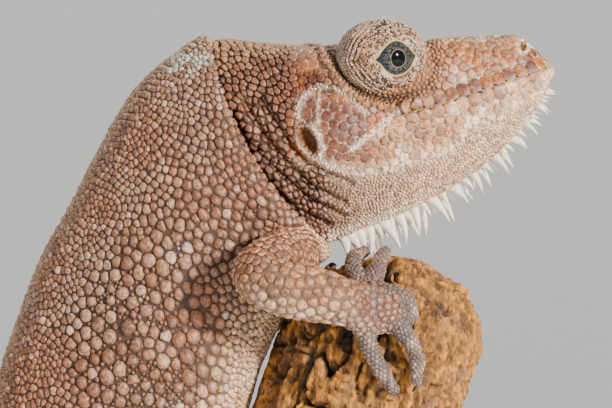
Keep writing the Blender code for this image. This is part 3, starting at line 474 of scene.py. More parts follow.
def head_table(depth, rows=300, cols=320):
    """The head, throat and neck: rings from the tip of the snout to a place under the trunk's fold."""
    turn = circle(720)
    at = np.concatenate([np.linspace(0, 2, 60), np.linspace(2, 15.9, 280)[1:]])
    rings = rib_rings(HEAD_RIBS, at, turn, -depth - 1.1 * ease(at, 14.3, 15.5))
    around = np.minimum(turn, 2 * math.pi - turn)
    ridge = RIDGE_HEIGHT * bell(around, RIDGE_TURN, RIDGE_SPREAD)
    trough = TROUGH_DEPTH * bell(around, 0, TROUGH_SPREAD)
    rings[..., 2] += bell(at, CROWN_MIDDLE, CROWN_SPREAD)[:, None] * (ridge - trough)
    near = ((rings[..., 0] - CHEEK_X) / CHEEK_LENGTH) ** 2 + ((rings[..., 2] - CHEEK_Z) / CHEEK_RISE) ** 2
    rings[..., 1] += CHEEK_SWELL * np.sign(rings[..., 1]) * np.exp(-near)
    middle = rings[0].mean(axis=0)
    nose = [middle + (rings[0] - middle) * math.sin(angle) + np.array([0.9 * math.cos(angle), 0, 0])
            for angle in np.radians(np.linspace(8, 82, 16))]
    table = even_round(even_along(even_round(np.concatenate([nose, rings]))[:, ::2], rows))
    table = read(table, *places(rows, cols))
    return table + head_relief(table)[..., None] * normals_of(table)


def trunk_table(depth, rows=150, cols=192):
    """The trunk: its front edge is raised over the neck as a fold and curls in under itself."""
    at = np.linspace(0, len(TRUNK_RIBS) - 1, 240)
    rings = rib_rings(TRUNK_RIBS, at, circle(720), -depth + 0.8 * (1 - ease(at, 0.1, 2.0)))
    middle = rings[0].mean(axis=0)
    curl = [middle + (rings[0] - middle) * (1 - inward) + np.array([-back, 0, -0.5 * back])
            for inward, back in TRUNK_CURL]
    return read(even_along(even_round(np.concatenate([curl, rings])), rows), *places(rows, cols))


def tube_table(points, radii, normal, rows, cols, rounded=True, tangent=None):
    """Ellipses carried square to a path: middle plus cosine of the turn times the first radius along the
    normal, plus sine times the second radius along the cross. Round ends are half ellipsoids."""
    points, radii = np.asarray(points, float), np.asarray(radii, float)
    tangent = unit(np.gradient(points, axis=0)) if tangent is None else tangent
    normal = np.broadcast_to(normal, points.shape)
    at = np.linspace(0, len(points) - 1, rows)
    points, radii, tangent, normal = (smooth_rows(part, at) for part in (points, radii, tangent, normal))
    tangent = unit(tangent)
    normal = laid(normal, tangent)
    push, shrink, which = np.zeros(rows), np.ones(rows), np.arange(rows)
    if rounded:
        angle = np.radians(np.linspace(80, 15, 6))
        push = np.concatenate([-np.sin(angle), push, np.sin(angle[::-1])])
        shrink = np.concatenate([np.cos(angle), shrink, np.cos(angle[::-1])])
        which = np.concatenate([np.zeros(6, int), which, np.full(6, rows - 1)])
    middle = points[which] + (push * radii[which].mean(axis=1))[:, None] * tangent[which]
    turn = circle(cols)
    table = middle[:, None]
    for radius, swing, axis in ((radii[which, 0], np.cos(turn), normal[which]),
                                (radii[which, 1], np.sin(turn), np.cross(normal, tangent)[which])):
        table = table + (radius * shrink)[:, None, None] * swing[None, :, None] * axis[:, None]
    return outwards(table)


def branch_radius(depth, turn):
    """Radius of the branch: a dome at the top, then a shaft with low swellings, all sums of sines."""
    rise = np.clip(1 - np.asarray(depth, float) / DOME_DEPTH, 0, 1)
    dome = np.sqrt(np.maximum(1 - rise ** DOME_POWER, 0))
    lumps = 0.45 * np.sin(3 * turn + depth / 13) + 0.35 * np.sin(5 * turn - depth / 8 + 1)
    return dome * (BRANCH_RADIUS + lumps + 0.6 * np.sin(depth / 21 + 0.8))


def branch_point(depth, turn, height):
    """A point at a height above the bark, at a depth down the axis and a turn round it."""
    depth, turn = np.asarray(depth, float), np.asarray(turn, float)
    radius = branch_radius(depth, turn)
    out = radius * np.cos(turn)
    slope = 0.3 * 0.5 * (np.sqrt(out ** 2 + 9) - out) * np.exp(-depth / 9)
    steep = np.clip(1 - depth / DOME_DEPTH, 0, 1) ** 1.5
    flat = 1 - 0.75 * steep
    direction = unit(np.stack([np.cos(turn) * flat, np.sin(turn) * flat, steep], -1))
    along = AXIS_DEPTH - depth - slope + height * direction[..., 2]
    return (AXIS_POINT + along[..., None] * AXIS_UP
            + (out + height * direction[..., 0])[..., None] * AXIS_OUT
            + (radius * np.sin(turn) + height * direction[..., 1])[..., None] * AXIS_SIDE)


def out_point(out, side, depth):
    """A point at a distance out from the branch's axis, to the side and down it."""
    return AXIS_POINT + (AXIS_DEPTH - depth) * AXIS_UP + out * AXIS_OUT + side * AXIS_SIDE


def outward(depth, turn):
    """The way straight out of the bark at a depth and turn."""
    return unit(branch_point(depth, turn, 1.0) - branch_point(depth, turn, 0.0))


def tail_table(depth):
    """The tail's tube down the back of the branch and once round it, begun inside the trunk."""
    share = np.linspace(0, 1, 46)
    rows = smooth_rows(TAIL, np.interp(share, TAIL[:, 0], np.arange(len(TAIL))))
    turn = np.radians(rows[:, 2])
    radii = rows[:, 4:6].copy()
    points = branch_point(rows[:, 1], turn, rows[:, 3] + radii[:, 0])
    top_x, top_z, low_x, low_z, width = TRUNK_RIBS[-1, :5]
    spine = unit([top_x - low_x, 0.0, top_z - low_z])
    back = np.array([-spine[2], 0.0, spine[0]])
    share = np.clip(share / 0.16, 0, 1)[:, None]
    points[0] = np.array([(top_x + low_x) / 2, 0.0, (top_z + low_z) / 2])
    radii[0] = np.hypot(top_x - low_x, top_z - low_z) / 2, width
    radial = np.cos(turn)[:, None] * AXIS_OUT + np.sin(turn)[:, None] * AXIS_SIDE
    normal = unit((1 - share) * spine + share * radial)
    tangent = unit(np.gradient(points, axis=0))
    tangent[0] = back
    points = np.concatenate([[points[0] - 5 * back], points])
    radii = np.concatenate([[radii[0] * 0.9], radii])
    tangent, normal = np.concatenate([[back], tangent]), np.concatenate([[spine], normal])
    return even_along(tube_table(points, radii - depth, normal, 420, 64, tangent=tangent), 430)


def arm_points(table, side, lowered):
    """Points and radii of an arm's length, let down along the branch by so much at its two ends."""
    table = np.asarray(table, float)
    drop = np.linspace(*lowered, len(table))[:, None]
    return table[:, :3] * (1, side, 1) - drop * AXIS_UP, table[:, 3:]


def leg_points(table, side, lowered):
    """Points and radii of a hind limb's length, from places by the branch's axis, let down likewise."""
    table = np.asarray(table, float)
    drop = np.linspace(*lowered, len(table))
    points = np.array([out_point(row[0], side * row[1], row[2] + fall) for row, fall in zip(table, drop)])
    return points, table[:, 3:]


def walk(depth, turn, heading, bend, length, side):
    """Steps over the bark from a place, by a heading that bends evenly."""
    steps = 20
    stride = length / steps
    places = [(depth, turn)]
    for k in range(steps):
        way = math.radians(heading + bend * (k + 0.5) / steps)
        radius = float(branch_radius(depth, turn))
        slope = float(branch_radius(depth + 0.1, turn)) - radius
        fall = math.hypot(1.0, slope / 0.1)
        depth = max(depth - math.cos(way) * stride / fall, 0.5)
        turn = turn - side * math.sin(way) * stride / max(radius, 3.0)
        places.append((depth, turn))
    return np.array(places)


def digit_path(depth, turn, row, side, thick, skin):
    """The path, radii and normals of a finger or toe, which swells at its joints and at its pad."""
    up, forward, heading, bend, length, arch = row
    down, around = walk(depth - up, turn - side * forward / BRANCH_RADIUS, heading, bend, length, side).T
    t = np.linspace(0, 1, len(down))
    radius = thick * (1.0 - DIGIT_TAPER * t)
    lift = radius + GAP + 0.15 + arch * np.sin(math.pi * np.clip(t * 1.15, 0, 1))
    knob = 1 + 0.05 * np.cos(2 * math.pi * t * max(round(length / 3.4), 2))
    radii = np.stack([radius * 0.95 * knob, radius * (1 + 0.1 * bell(t, 0.72, 0.16)) * knob], 1)
    return branch_point(down, around, lift), radii - skin, outward(down, around)


def paw_tables(limb, palm, depth, turn, digits, side, thick, skin):
    """Tables of the palm and the digits, and each claw's start, heading and lift."""
    turn = -side * math.radians(turn)
    wrist = limb[-1] + 0.3 * (limb[-1] - limb[-2])
    middle = branch_point(depth, turn, palm[1][0] + GAP + 0.2)
    knuckles = branch_point(depth - 0.4, turn - side * 2.6 / BRANCH_RADIUS, palm[2][0] + GAP + 0.2)
    at = np.linspace(0, 2, 9)
    points, spread = (smooth_rows(np.array(rows), at) for rows in ((wrist, middle, knuckles), palm))
    tables = [("palm", tube_table(points, spread - skin, outward(depth, turn), 40, 56))]
    claws = []
    for row in digits:
        path, radii, lift = digit_path(depth, turn, row, side, thick, skin)
        tables.append(("digit", tube_table(path, radii, lift, 60, 40)))
        claws.append((path[-1], unit(path[-1] - path[-2]), lift[-1], thick * (1 - DIGIT_TAPER)))
    return tables, claws


def limb_tables(side, depth):
    """Every length of one side's limbs as a named table, and its claws."""
    tables, claws = [], []
    arm, leg = (drop if side == LEFT else 0.0 for drop in (LEFT_ARM_DROP, LEFT_LEG_DROP))
    for name, table, made, lowered, paw in (
            ("upper_arm", UPPER_ARM, arm_points, (0.0, 0.25 * arm), None),
            ("forearm", FOREARM, arm_points, (0.3 * arm, arm),
             (HAND_PALM, PALM_DEPTH + arm, PALM_TURN, HAND_DIGITS, side, HAND_THICK)),
            ("thigh", THIGH, leg_points, (0.3 * leg, leg), None),
            ("shank", SHANK, leg_points, (leg, leg),
             (FOOT_PALM, SOLE_DEPTH + leg, SOLE_TURN, FOOT_DIGITS, side, FOOT_THICK))):
        points, radii = made(table, side, lowered)
        at = np.linspace(0, len(points) - 1, 13)
        tables.append((name, tube_table(smooth_rows(points, at), smooth_rows(radii, at) - depth,
                                        np.array([0.0, side, 0.0]), 90, 80)))
        if paw:
            forms, tips = paw_tables(points, *paw, depth * 0.6)
            tables += forms
            claws += tips
    return tables, claws


def dome_radius(turn, angle):
    """Distance from an eye's middle to the lids' dome, an ellipsoid, at an angle from the gaze."""
    flat = (np.cos(turn) / DOME_LONG) ** 2 + (np.sin(turn) / DOME_HIGH) ** 2
    return 1 / np.sqrt((np.cos(angle) / DOME_DEEP) ** 2 + np.sin(angle) ** 2 * flat)


def slit_turn(turn):
    """Angle from the gaze to the lids' edge: a circle, flattened between its top and its corners, and drawn
    out to a point before and behind, where the extra reach falls off by the exponential of the sine of the
    turn."""
    ahead, behind = SLIT_CORNERS
    point = np.where(np.cos(turn) > 0, ahead, behind) * np.exp(-np.abs(np.sin(turn - 0.12)) / CORNER_SHARP)
    flat = (0.13 + 0.12 * np.cos(turn - 2.36)) * np.sin(2 * turn) ** 2
    return np.arcsin((SLIT_RADIUS - flat + point * np.abs(np.cos(turn))) / DOME_DEEP)


def eye_places(side, turn, angle, radius):
    """Points round an eye: radius times cosine of the angle along the gaze, and times sine across it."""
    gaze, forward, up = eye_frame(side)
    flat = np.cos(turn)[..., None] * forward + np.sin(turn)[..., None] * up
    return (TURRET * (1, side, 1) + (radius * np.cos(angle))[..., None] * gaze
            + (radius * np.sin(angle))[..., None] * flat)


def lid_folds(share, turn):
    """Heights of the rings of folds round an eye: a sine of the share of the way out, strongest below and
    behind, with its crests wider than its creases."""
    behind = ease(np.cos(turn - math.radians(208)), -0.35, 0.6)
    wave = np.sin(share * 2 * math.pi * 19 + 1.5 * np.sin(2 * turn) + 0.7 * np.sin(3 * turn + 1))
    return (0.08 + 0.36 * behind) * (1 - 2 * (0.5 - 0.5 * wave) ** 2) * ease(share, 0.12, 0.34)


def lids_table(side, depth, rows=190, cols=180):
    """The lids' dome from the edge of the slit to behind the skin of the head."""
    turn = circle(cols)[None]
    share = np.linspace(0, 1, rows)[:, None]
    edge = slit_turn(turn)
    angle = edge + (DOME_END - edge) * share
    radius = dome_radius(turn, angle) - depth + lid_folds(share, turn) + 0.18 * bell(share, 0.045, 0.033)
    inner = eye_places(side, turn, edge, np.full((1, cols), EYE_RADIUS + 0.08))
    rim = eye_places(side, turn, edge + 0.004, dome_radius(turn, edge) - depth - 0.25)
    return outwards(np.concatenate([inner, rim, eye_places(side, turn, angle, radius)]))


def grid_quads(rows, cols):
    """Quads of a table's points, round it and from row to row, with their faces outwards."""
    i = np.arange(rows - 1)[:, None] * cols
    j = np.arange(cols)[None, :]
    k = (j + 1) % cols
    return np.stack([i + j, i + cols + j, i + cols + k, i + k], -1).reshape(-1, 4)


def closed_form(table):
    """A table's points, quads and end triangles, each end closed on a pole."""
    rows, cols = table.shape[:2]
    points = np.concatenate([table.reshape(-1, 3), table[:1].mean(axis=1), table[-1:].mean(axis=1)])
    j = np.arange(cols)
    k = (j + 1) % cols
    last = (rows - 1) * cols
    first_fan = np.stack([j, k, np.full(cols, rows * cols)], 1)
    last_fan = np.stack([last + k, last + j, np.full(cols, rows * cols + 1)], 1)
    return points, grid_quads(rows, cols), np.concatenate([first_fan, last_fan])


def joined(forms):
    """Several forms as one set of points, quads and triangles."""
    points, quads, tris, start = [], [], [], 0
    for form in forms:
        points.append(form[0])
        quads.append(form[1] + start)
        tris.append(form[2] + start)
        start += len(form[0])
    return np.concatenate(points), np.concatenate(quads), np.concatenate(tris)


def make_object(name, points, quads, tris):
    """A smooth mesh object at the origin from points in millimetres and faces of four and three corners."""
    mesh = bpy.data.meshes.new(name)
    mesh.vertices.add(len(points))
    mesh.vertices.foreach_set("co", ((points + ORIGIN) * MM).astype(np.float32).ravel())
    corners = np.concatenate([quads.ravel(), tris.ravel()]).astype(np.int32)
    mesh.loops.add(len(corners))
    mesh.loops.foreach_set("vertex_index", corners)
    starts = np.concatenate([np.arange(len(quads)) * 4, len(quads) * 4 + np.arange(len(tris)) * 3])
    mesh.polygons.add(len(starts))
    mesh.polygons.foreach_set("loop_start", starts.astype(np.int32))
    mesh.polygons.foreach_set("use_smooth", np.ones(len(starts), bool))
    mesh.update(calc_edges=True)
    mesh.validate()
    obj = bpy.data.objects.new(name, mesh)
    bpy.context.scene.collection.objects.link(obj)
    return obj


def gather(items, name, wide=1, kind=np.float32):
    """One property of every item of a Blender collection, as an array."""
    flat = np.empty(len(items) * wide, kind)
    items.foreach_get(name, flat)
    return flat.reshape(-1, wide) if wide > 1 else flat


def set_value(obj, name, values):
    """Give each point of a mesh a number."""
    layer = obj.data.attributes.new(name, "FLOAT", "POINT")
    layer.data.foreach_set("value", np.asarray(values, np.float32).ravel())


def set_colour(obj, name, colours):
    """Give each point of a mesh a colour."""
    layer = obj.data.attributes.new(name, "FLOAT_COLOR", "POINT")
    full = np.concatenate([colours, np.ones((len(colours), 1))], axis=1)
    layer.data.foreach_set("color", full.astype(np.float32).ravel())


def mesh_points(obj):
    """An object's points, back in millimetres from the drawing's origin."""
    return gather(obj.data.vertices, "co", 3) / MM - ORIGIN


# Seeds of scales.
def laid(heading, normal):
    """A heading laid onto the skin."""
    return unit(heading - np.sum(heading * normal, -1)[..., None] * normal)


def tree_of(points):
    """A search tree that finds the nearest of the points."""
    tree = KDTree(len(points))
    for k, point in enumerate(points):
        tree.insert(point, k)
    tree.balance()
    return tree


def neighbours(points, count):
    """The nearest other points of each point, and how far they are."""
    tree = tree_of(points)
    found = [tree.find_n(point, count + 1)[1:] for point in points]
    index = np.array([[hit[1] for hit in hits] for hits in found])
    away = np.array([[hit[2] for hit in hits] for hits in found])
    return index, away


def scatter(table, size, rounds, fixed=((), ()), seed=0, lie=None):
    """Places of scales over a table, as many as their own sizes fill, first by the golden sequence in shares
    of the area and then pushed apart until each keeps its size from its neighbours. A lie gives the heading
    of the scales' long axis, and how many times longer than wide they are."""
    cells = 180
    middles = (np.arange(cells) + 0.5) / cells
    u, v = np.meshgrid(middles, middles, indexing="ij")
    along, around = slopes(table)
    normals = normals_of(table)
    area = np.linalg.norm(np.cross(read(along, u, v), read(around, u, v)), axis=-1) / (cells * cells)
    wanted = size(read(table, u, v))
    density = np.where(wanted > 0, area / (SHARE_OF_SQUARE * np.maximum(wanted, 0.2) ** 2), 0)
    k = np.arange(int(round(density.sum()))) + seed
    first, second = ((0.5 + step * k) % 1 for step in GOLDEN_STEPS)
    row = density.sum(axis=1)
    u = np.interp(first, run_of(row) / row.sum(), np.linspace(0, 1, cells + 1))
    at = np.minimum((u * cells).astype(int), cells - 1)
    inner = np.cumsum(density, axis=1) / np.maximum(row, 1e-12)[:, None] + np.arange(cells)[:, None]
    hit = np.searchsorted(inner.ravel(), at + second * 0.9999)
    v = (np.minimum(hit - at * cells, cells - 1) + (k * GOLDEN) % 1) / cells
    held = len(fixed[0])
    u, v = np.concatenate([fixed[0], u]), np.concatenate([fixed[1], v])
    move = np.arange(len(u)) >= held
    for _ in range(rounds):
        points = read(table, u, v)
        reach = np.maximum(size(points), 0.3)
        index, away = neighbours(points, 9 if lie else 7)
        off = points[:, None] - points[index]
        pull, reached = off, away
        if lie:
            heading, ratio = lie(points)
            axis = laid(heading, unit(read(normals, u, v)))[:, None]
            ratio = ratio[:, None, None]
            pull = ratio * off + (1 / ratio - ratio) * np.sum(off * axis, 2)[..., None] * axis
            away, reached = np.sqrt(np.maximum(np.sum(off * pull, 2), 1e-9)), np.linalg.norm(pull, axis=2)
        want = 0.53 * (reach[:, None] + reach[index])
        push = np.clip(want - away, 0, None) * away / np.maximum(reached, 1e-6) ** 2
        force = 0.4 * np.sum(pull * push[..., None], axis=1)
        long = np.linalg.norm(force, axis=1, keepdims=True)
        force *= np.minimum(1, 0.4 * reach[:, None] / np.maximum(long, 1e-9))
        tu, tv = read(along, u, v), read(around, u, v)
        a, b, c = np.sum(tu * tu, 1), np.sum(tu * tv, 1), np.sum(tv * tv, 1)
        fu, fv = np.sum(force * tu, 1), np.sum(force * tv, 1)
        whole = np.maximum(a * c - b * b, 1e-9)
        u = np.where(move, np.clip(u + (c * fu - b * fv) / whole, 0, 1), u)
        v = np.where(move, (v + (a * fv - b * fu) / whole) % 1, v)
    reach = size(read(table, u, v))
    index, away = neighbours(read(table, u, v), 3)
    keep = (reach > 0) & ~((away[:, 0] < 0.42 * reach) & (index[:, 0] < np.arange(len(u))))
    keep[:held] = True
    return u[keep], v[keep]


def lattice(table, spacing, aspect, start, end=1.0):
    """Places in rows round a table: the count of each row is its girth over the spacing, every other row is
    turned by half a step, and rows are 0.87 of the spacing apart times the aspect."""
    run = run_of(np.linalg.norm(np.diff(table, axis=0), axis=2).mean(axis=1))
    wrapped = np.concatenate([table, table[:, :1]], axis=1)
    girth = np.linalg.norm(np.diff(wrapped, axis=1), axis=2).sum(axis=1)
    share = run / run[-1]
    found, u, k = [], start, 0
    while u < end:
        size = spacing(u)
        count = max(int(round(np.interp(u, share, girth) / size)), 4)
        v = (np.arange(count) + 0.5 * (k % 2)) / count
        found.append(np.stack([np.full(count, np.interp(u, share, np.linspace(0, 1, len(table)))), v]))
        u += aspect * 0.87 * size / run[-1]
        k += 1
    return np.concatenate(found, axis=1)


def seeds_on(table, u, v, region, size):
    """Seeds of one table: place, normal and the way that a scale points, with their sizes."""
    normal = unit(read(normals_of(table), u, v))
    seeds = {"place": read(table, u, v), "normal": normal, "way": laid(read(slopes(table)[0], u, v), normal),
             "u": u, "v": v, "region": np.full(len(u), region)}
    return put(seeds, size=size)


def put(seeds, **values):
    """The seeds with values given to each, or one given to all."""
    for name, value in values.items():
        seeds[name] = np.broadcast_to(np.asarray(value, float), (len(seeds["place"]),)).copy()
    return seeds


def pick(seeds, keep):
    """The seeds that a mask or a list of places picks out."""
    return {name: value[keep] for name, value in seeds.items()}


def together(parts):
    """Several groups of seeds as one."""
    return {name: np.concatenate([part[name] for part in parts]) for name in parts[0]}


def outlines(seeds, profile):
    """How far each scale reaches at each of its corners: to its share of the way to the nearest neighbour
    on that side, less half a gap, and no further than its own ellipse. The bend that a scale needs to lie on
    the skin, a x^2 + b x y + c y^2, is fitted to its neighbours' places by least squares."""
    place, normal, way, size = seeds["place"], seeds["normal"], seeds["way"], seeds["size"][:, None]
    index, _ = neighbours(place, 11)
    off = place[index] - place[:, None]
    x, y, rise = (np.sum(off * axis[:, None], 2) for axis in (way, np.cross(normal, way), normal))
    away = np.hypot(x, y)
    agree = np.sum(normal[index] * normal[:, None], 2)
    terms = np.stack([x * x, x * y, y * y], 2)
    weight = np.where((agree > 0.5) & (np.abs(rise) < 0.7 * away), 1 / np.maximum(away, 0.05) ** 4, 0.0)
    square = np.einsum("nk,nki,nkj->nij", weight, terms, terms) + 0.05 * np.eye(3)
    wanted = np.einsum("nk,nki,nk->ni", weight, terms, rise)[..., None]
    seeds["bend"] = np.clip(np.linalg.solve(square, wanted)[..., 0], -0.4, 0.15)
    edge = away * (size / (size + seeds["size"][index]))
    bearing = np.arctan2(y, x)
    heeded = ~((agree < 0.2) | (np.abs(rise) > 0.9 * away) | (away < 1e-4))
    turn = corner_turns(PROFILES[profile][0])
    reach = np.full((len(place), len(turn)), 1e9)
    for k in range(index.shape[1]):
        cos = np.cos(turn[None] - bearing[:, k, None])
        limit = np.where((cos > 0.12) & heeded[:, k, None], edge[:, k, None] / np.maximum(cos, 0.12), 1e9)
        reach = np.minimum(reach, limit)
    own = seeds["cap"][:, None] * 0.5 * size / np.hypot(
        np.cos(turn)[None] / seeds["long"][:, None], np.sin(turn)[None] / seeds["wide"][:, None])
    smooth = (reach ** -8 + own ** -8) ** (-1 / 8)
    return np.maximum(smooth - 0.5 * seeds["gap"][:, None], 0.12 * size)


# For each profile the count of sides, then for each ring the share of the outline, that of the height (the
# first ring lies under the skin) and how much of the rim's colour it takes.
PROFILES = {
    "plate": (12, ((1.0, None, 1.0), (0.975, 0.55, 0.9), (0.89, 0.88, 0.05), (0.5, 1.0, 0.0))),
    "dome": (10, ((1.0, None, 1.0), (0.93, 0.40, 0.8), (0.72, 0.77, 0.15), (0.38, 0.96, 0.0))),
    "keel": (8, ((1.0, None, 1.0), (0.90, 0.52, 0.8), (0.52, 0.90, 0.1))),
    "grain": (6, ((1.0, None, 1.0), (0.70, 0.80, 0.4))),
}


def scale_forms(seeds, profile, reach):
    """Points and faces of many scales of one profile: rings of the outline, shrunk and raised ring by ring
    to a middle point, tilted so that the hind edge stands up, with a keel down the middle."""
    sides, rings = PROFILES[profile]
    turn, count = corner_turns(sides), len(seeds["place"])
    half, height, tilt, lean, keel, over = (
        seeds[name][:, None] for name in ("size", "height", "tilt", "lean", "keel", "over"))
    half = 0.5 * half
    a, b, c = seeds["bend"].T[..., None]
    parts = []
    for shrink, rise, rim in rings:
        px = reach * shrink * np.cos(turn)
        py = reach * shrink * np.sin(turn)
        curve = a * px ** 2 + b * px * py + c * py ** 2
        if rise is None:
            pz = curve - SCALE_SINK
        else:
            pz = height * rise + curve + tilt * px + lean * py
            pz = pz + keel * bell(py, 0, 0.34 * half) * (0.5 + 0.5 * px / half)
            px = px + over * np.clip(px, 0, None) * rise
        parts.append(np.stack(np.broadcast_arrays(px, py, pz, rim), -1))
    none = np.zeros((count, 1))
    parts.append(np.stack([none, none, height + 0.5 * keel, none], -1))
    x, y, z, edge = np.moveaxis(np.concatenate(parts, axis=1), -1, 0)
    across = np.cross(seeds["normal"], seeds["way"])
    points = (seeds["place"][:, None] + x[..., None] * seeds["way"][:, None]
              + y[..., None] * across[:, None] + z[..., None] * seeds["normal"][:, None])
    each = points.shape[1]
    j = np.arange(sides)
    k = (j + 1) % sides
    top = (len(rings) - 1) * sides
    quads = np.concatenate([np.stack([low + j, low + k, low + sides + k, low + sides + j], 1)
                            for low in range(0, top, sides)])
    tris = np.stack([top + j, top + k, np.full(sides, each - 1)], 1)
    start = (np.arange(count) * each)[:, None, None]
    return (points.reshape(-1, 3), (quads[None] + start).reshape(-1, 4), (tris[None] + start).reshape(-1, 3),
            edge.ravel(), each)


def make_coat(name, seeds, profile, reach, marks=None):
    """One coat piece: its scales, the colours and edge of each, and its patches of the baking map. With
    marks the colours change within a scale, by the place of each of its points."""
    points, quads, tris, edge, each = scale_forms(seeds, profile, reach)
    ground, rim = np.repeat(seeds["ground"], each, axis=0), np.repeat(seeds["rim"], each, axis=0)
    if marks:
        ground, rim, _ = marks(points)
    obj = make_object(name, points, quads, tris)
    set_value(obj, "edge", edge)
    set_value(obj, "tone", np.repeat(seeds["tone"], each))
    set_colour(obj, "ground", ground)
    set_colour(obj, "rim", rim)
    sides, rings = PROFILES[profile]
    turn = corner_turns(sides)
    local = np.tile(np.stack([np.cos(turn), np.sin(turn)], 1), (len(rings), 1))
    local = local * np.repeat(PATCH_RINGS[:len(rings)], sides)[:, None]
    root = np.stack([0.01 + 0.98 * seeds["map_u"], 0.01 + 0.98 * seeds["map_v"]], 1)
    uv = (root[:, None] + PATCH_HALF * np.concatenate([local, [[0.0, 0.0]]])[None]).reshape(-1, 2)
    layer = obj.data.uv_layers.new(name="OFBake")
    corner = gather(obj.data.loops, "vertex_index", kind=np.int32)
    layer.data.foreach_set("uv", uv[corner].astype(np.float32).ravel())
    return obj


def blend(colour, *layers):
    """Colours moved towards each other colour in turn, by that one's own weight."""
    for other, weight in layers:
        weight = np.clip(weight, 0, 1)[..., None]
        colour = colour * (1 - weight) + np.asarray(other) * weight
    return colour


def palette():
    """The colours among the settings, by name."""
    look = bpy.context.scene.anole_colours
    return {name: np.array(getattr(look, name)) for name in look.__annotations__}


def head_sizes(points):
    """Width of the head's scales: plates on the snout and cheek, fine grains on the throat and round the
    lids, middling ones on the neck, none in the eyes, ears and nostrils or where the labial rows are."""
    spots, x = in_photo(points), points[..., 0]
    fine = np.maximum(near_line(spots, CORNER_FOLD, 4.0), near_line(spots, EAR_RIM, 4.0))
    for line in CHEEK_LINES[:2]:
        fine = np.maximum(fine, near_line(spots, line, 3.5))
    ear, nose = in_ear(points), from_nostril(points)
    size = np.full(points.shape[:-1], size_of("head_plate")) * (1 + 0.18 * bump_at(spots, 336, 118, 30, 34))
    for width, share in (
            (1.35, ease(points[..., 2], 27.0, 28.4)),
            (size_of("throat_grain"), ease(from_line(spots, JAW_EDGE, True) * PIXEL, -0.3, 1.2)),
            (size_of("neck_scale") * (1 - 0.2 * ease(spots[..., 1], 150, 230)), on_neck(points)),
            (0.62, np.clip(fine * 1.3, 0, 1)),
            (0.8, 1 - ease(from_dome(points)[0], 1.16, 1.42)),
            (0.8, 1 - ease(ear, 1.3, 2.0)),
            (0.5, 1 - ease(nose, 1.0, 1.7)),
            (0.9, ease(x, 39.8, 41.0))):
        size = size + (width - size) * share
    size = size * (1 + 0.2 * noise(points, 1.4, 11))
    labial = (np.abs(mouth_height(points)) < 2.05) & (x > 14.0) & (x < LABIALS_END)
    return np.where((in_dome(points) < 0.88) | (ear < 0.85) | (nose < 0.8) | labial, 0.0, size)


def on_neck(points):
    """1 on the neck and 0 on the head, in the side view."""
    spots = in_photo(points)
    edge = -spots[..., 0] + 6 * noise(points, 3.0, 15)
    return np.maximum(ease(edge, -303, -285), ease(edge, -345, -315) * ease(spots[..., 1], 163, 176))


def head_lie(points):
    """Scales of the neck lie along its folds, down and forwards."""
    return np.broadcast_to((0.62, 0.0, -0.78), points.shape), 1 + 0.9 * on_neck(points)


def trunk_lie(points):
    """Domes of the flank stand on end, and the narrow scales along the back follow it."""
    near = (1 - ease(from_back(points), 1.5, 5.0))[:, None]
    fore = ease(points[:, 0], -32, -14)[:, None]
    heading = np.concatenate([0.15 + 0.45 * fore, 0 * fore, 0 * fore - 1], 1)
    return heading * (1 - near) + near * (-0.5, 0.0, -0.85), 1.3 + 0.5 * near[:, 0]


def labial_rows(table, level, step, end=LABIALS_END):
    """Even places along the two sides of the mouth at a height above or below its line, found ring by ring
    where the surface crosses that height, and mirrored."""
    rows, cols = table.shape[:2]
    height = mouth_height(table[:, :cols // 2 + 1]) - level
    found = []
    for row in range(2, rows):
        change = np.nonzero((height[row, :-1] > 0) & (height[row, 1:] <= 0))[0]
        if len(change) and 14.6 <= table[row, change[0], 0] <= end:
            above, below = height[row, change[0]], height[row, change[0] + 1]
            found.append((row / (rows - 1), (change[0] + above / (above - below)) / cols))
    u, v = np.array(found).T
    path = read(table, u, v)
    run = run_of(np.linalg.norm(np.diff(path, axis=0), axis=1))
    first = np.abs(path[0, 1])
    at = np.arange(max(0.5 * step - first, 0.3) if first < step else 0.0, run[-1], step)
    u, v = np.interp(at, run, u), np.interp(at, run, v)
    return np.concatenate([u, u]), np.concatenate([v, 1 - v])


def trunk_sizes(points):
    """Width of the trunk's scales: fine along the back, domes growing down the flank, finer on the belly."""
    spots = in_photo(points)
    back, belly = from_back(points), from_belly(points)
    size = 0.34 + 0.14 * ease(back, 0.8, 5.0) + 0.12 * ease(back, 6.0, 15.0)
    size = size + 0.44 * bump_at(spots, 145, 350, 75, 110) + 0.16 * bump_at(spots, 205, 225, 60, 50)
    size = size * (0.5 + 0.5 * ease(belly, 0.8, 6.5))
    return size_of("flank_scale") * size * (1 + 0.26 * noise(points, 2.1, 5))


def from_back(points):
    """Distance from the line of the back, in the side view."""
    return from_line(points[..., [0, 2]], TRUNK_RIBS[:, :2])


def from_belly(points):
    """Distance from the line of the belly, in the side view."""
    return from_line(points[..., [0, 2]], TRUNK_RIBS[:, 2:4])


@functools.cache
def tables():
    """Every surface of the animal by name, lying inside the solids by the depth of the coat."""
    depth = size_of("coat_depth")
    found = {"head": head_table(depth), "trunk": trunk_table(depth), "tail": tail_table(depth)}
    for side, word in SIDES:
        found["lids_" + word] = lids_table(side, depth)
        made, found["claws_" + word] = limb_tables(side, depth)
        for k, (name, table) in enumerate(made):
            found[f"{name}_{word}_{k}"] = table
    return found


def body_names():
    """The tables that make up the body's one skin."""
    return [name for name in tables() if name.split("_")[0] not in ("head", "lids", "claws")]


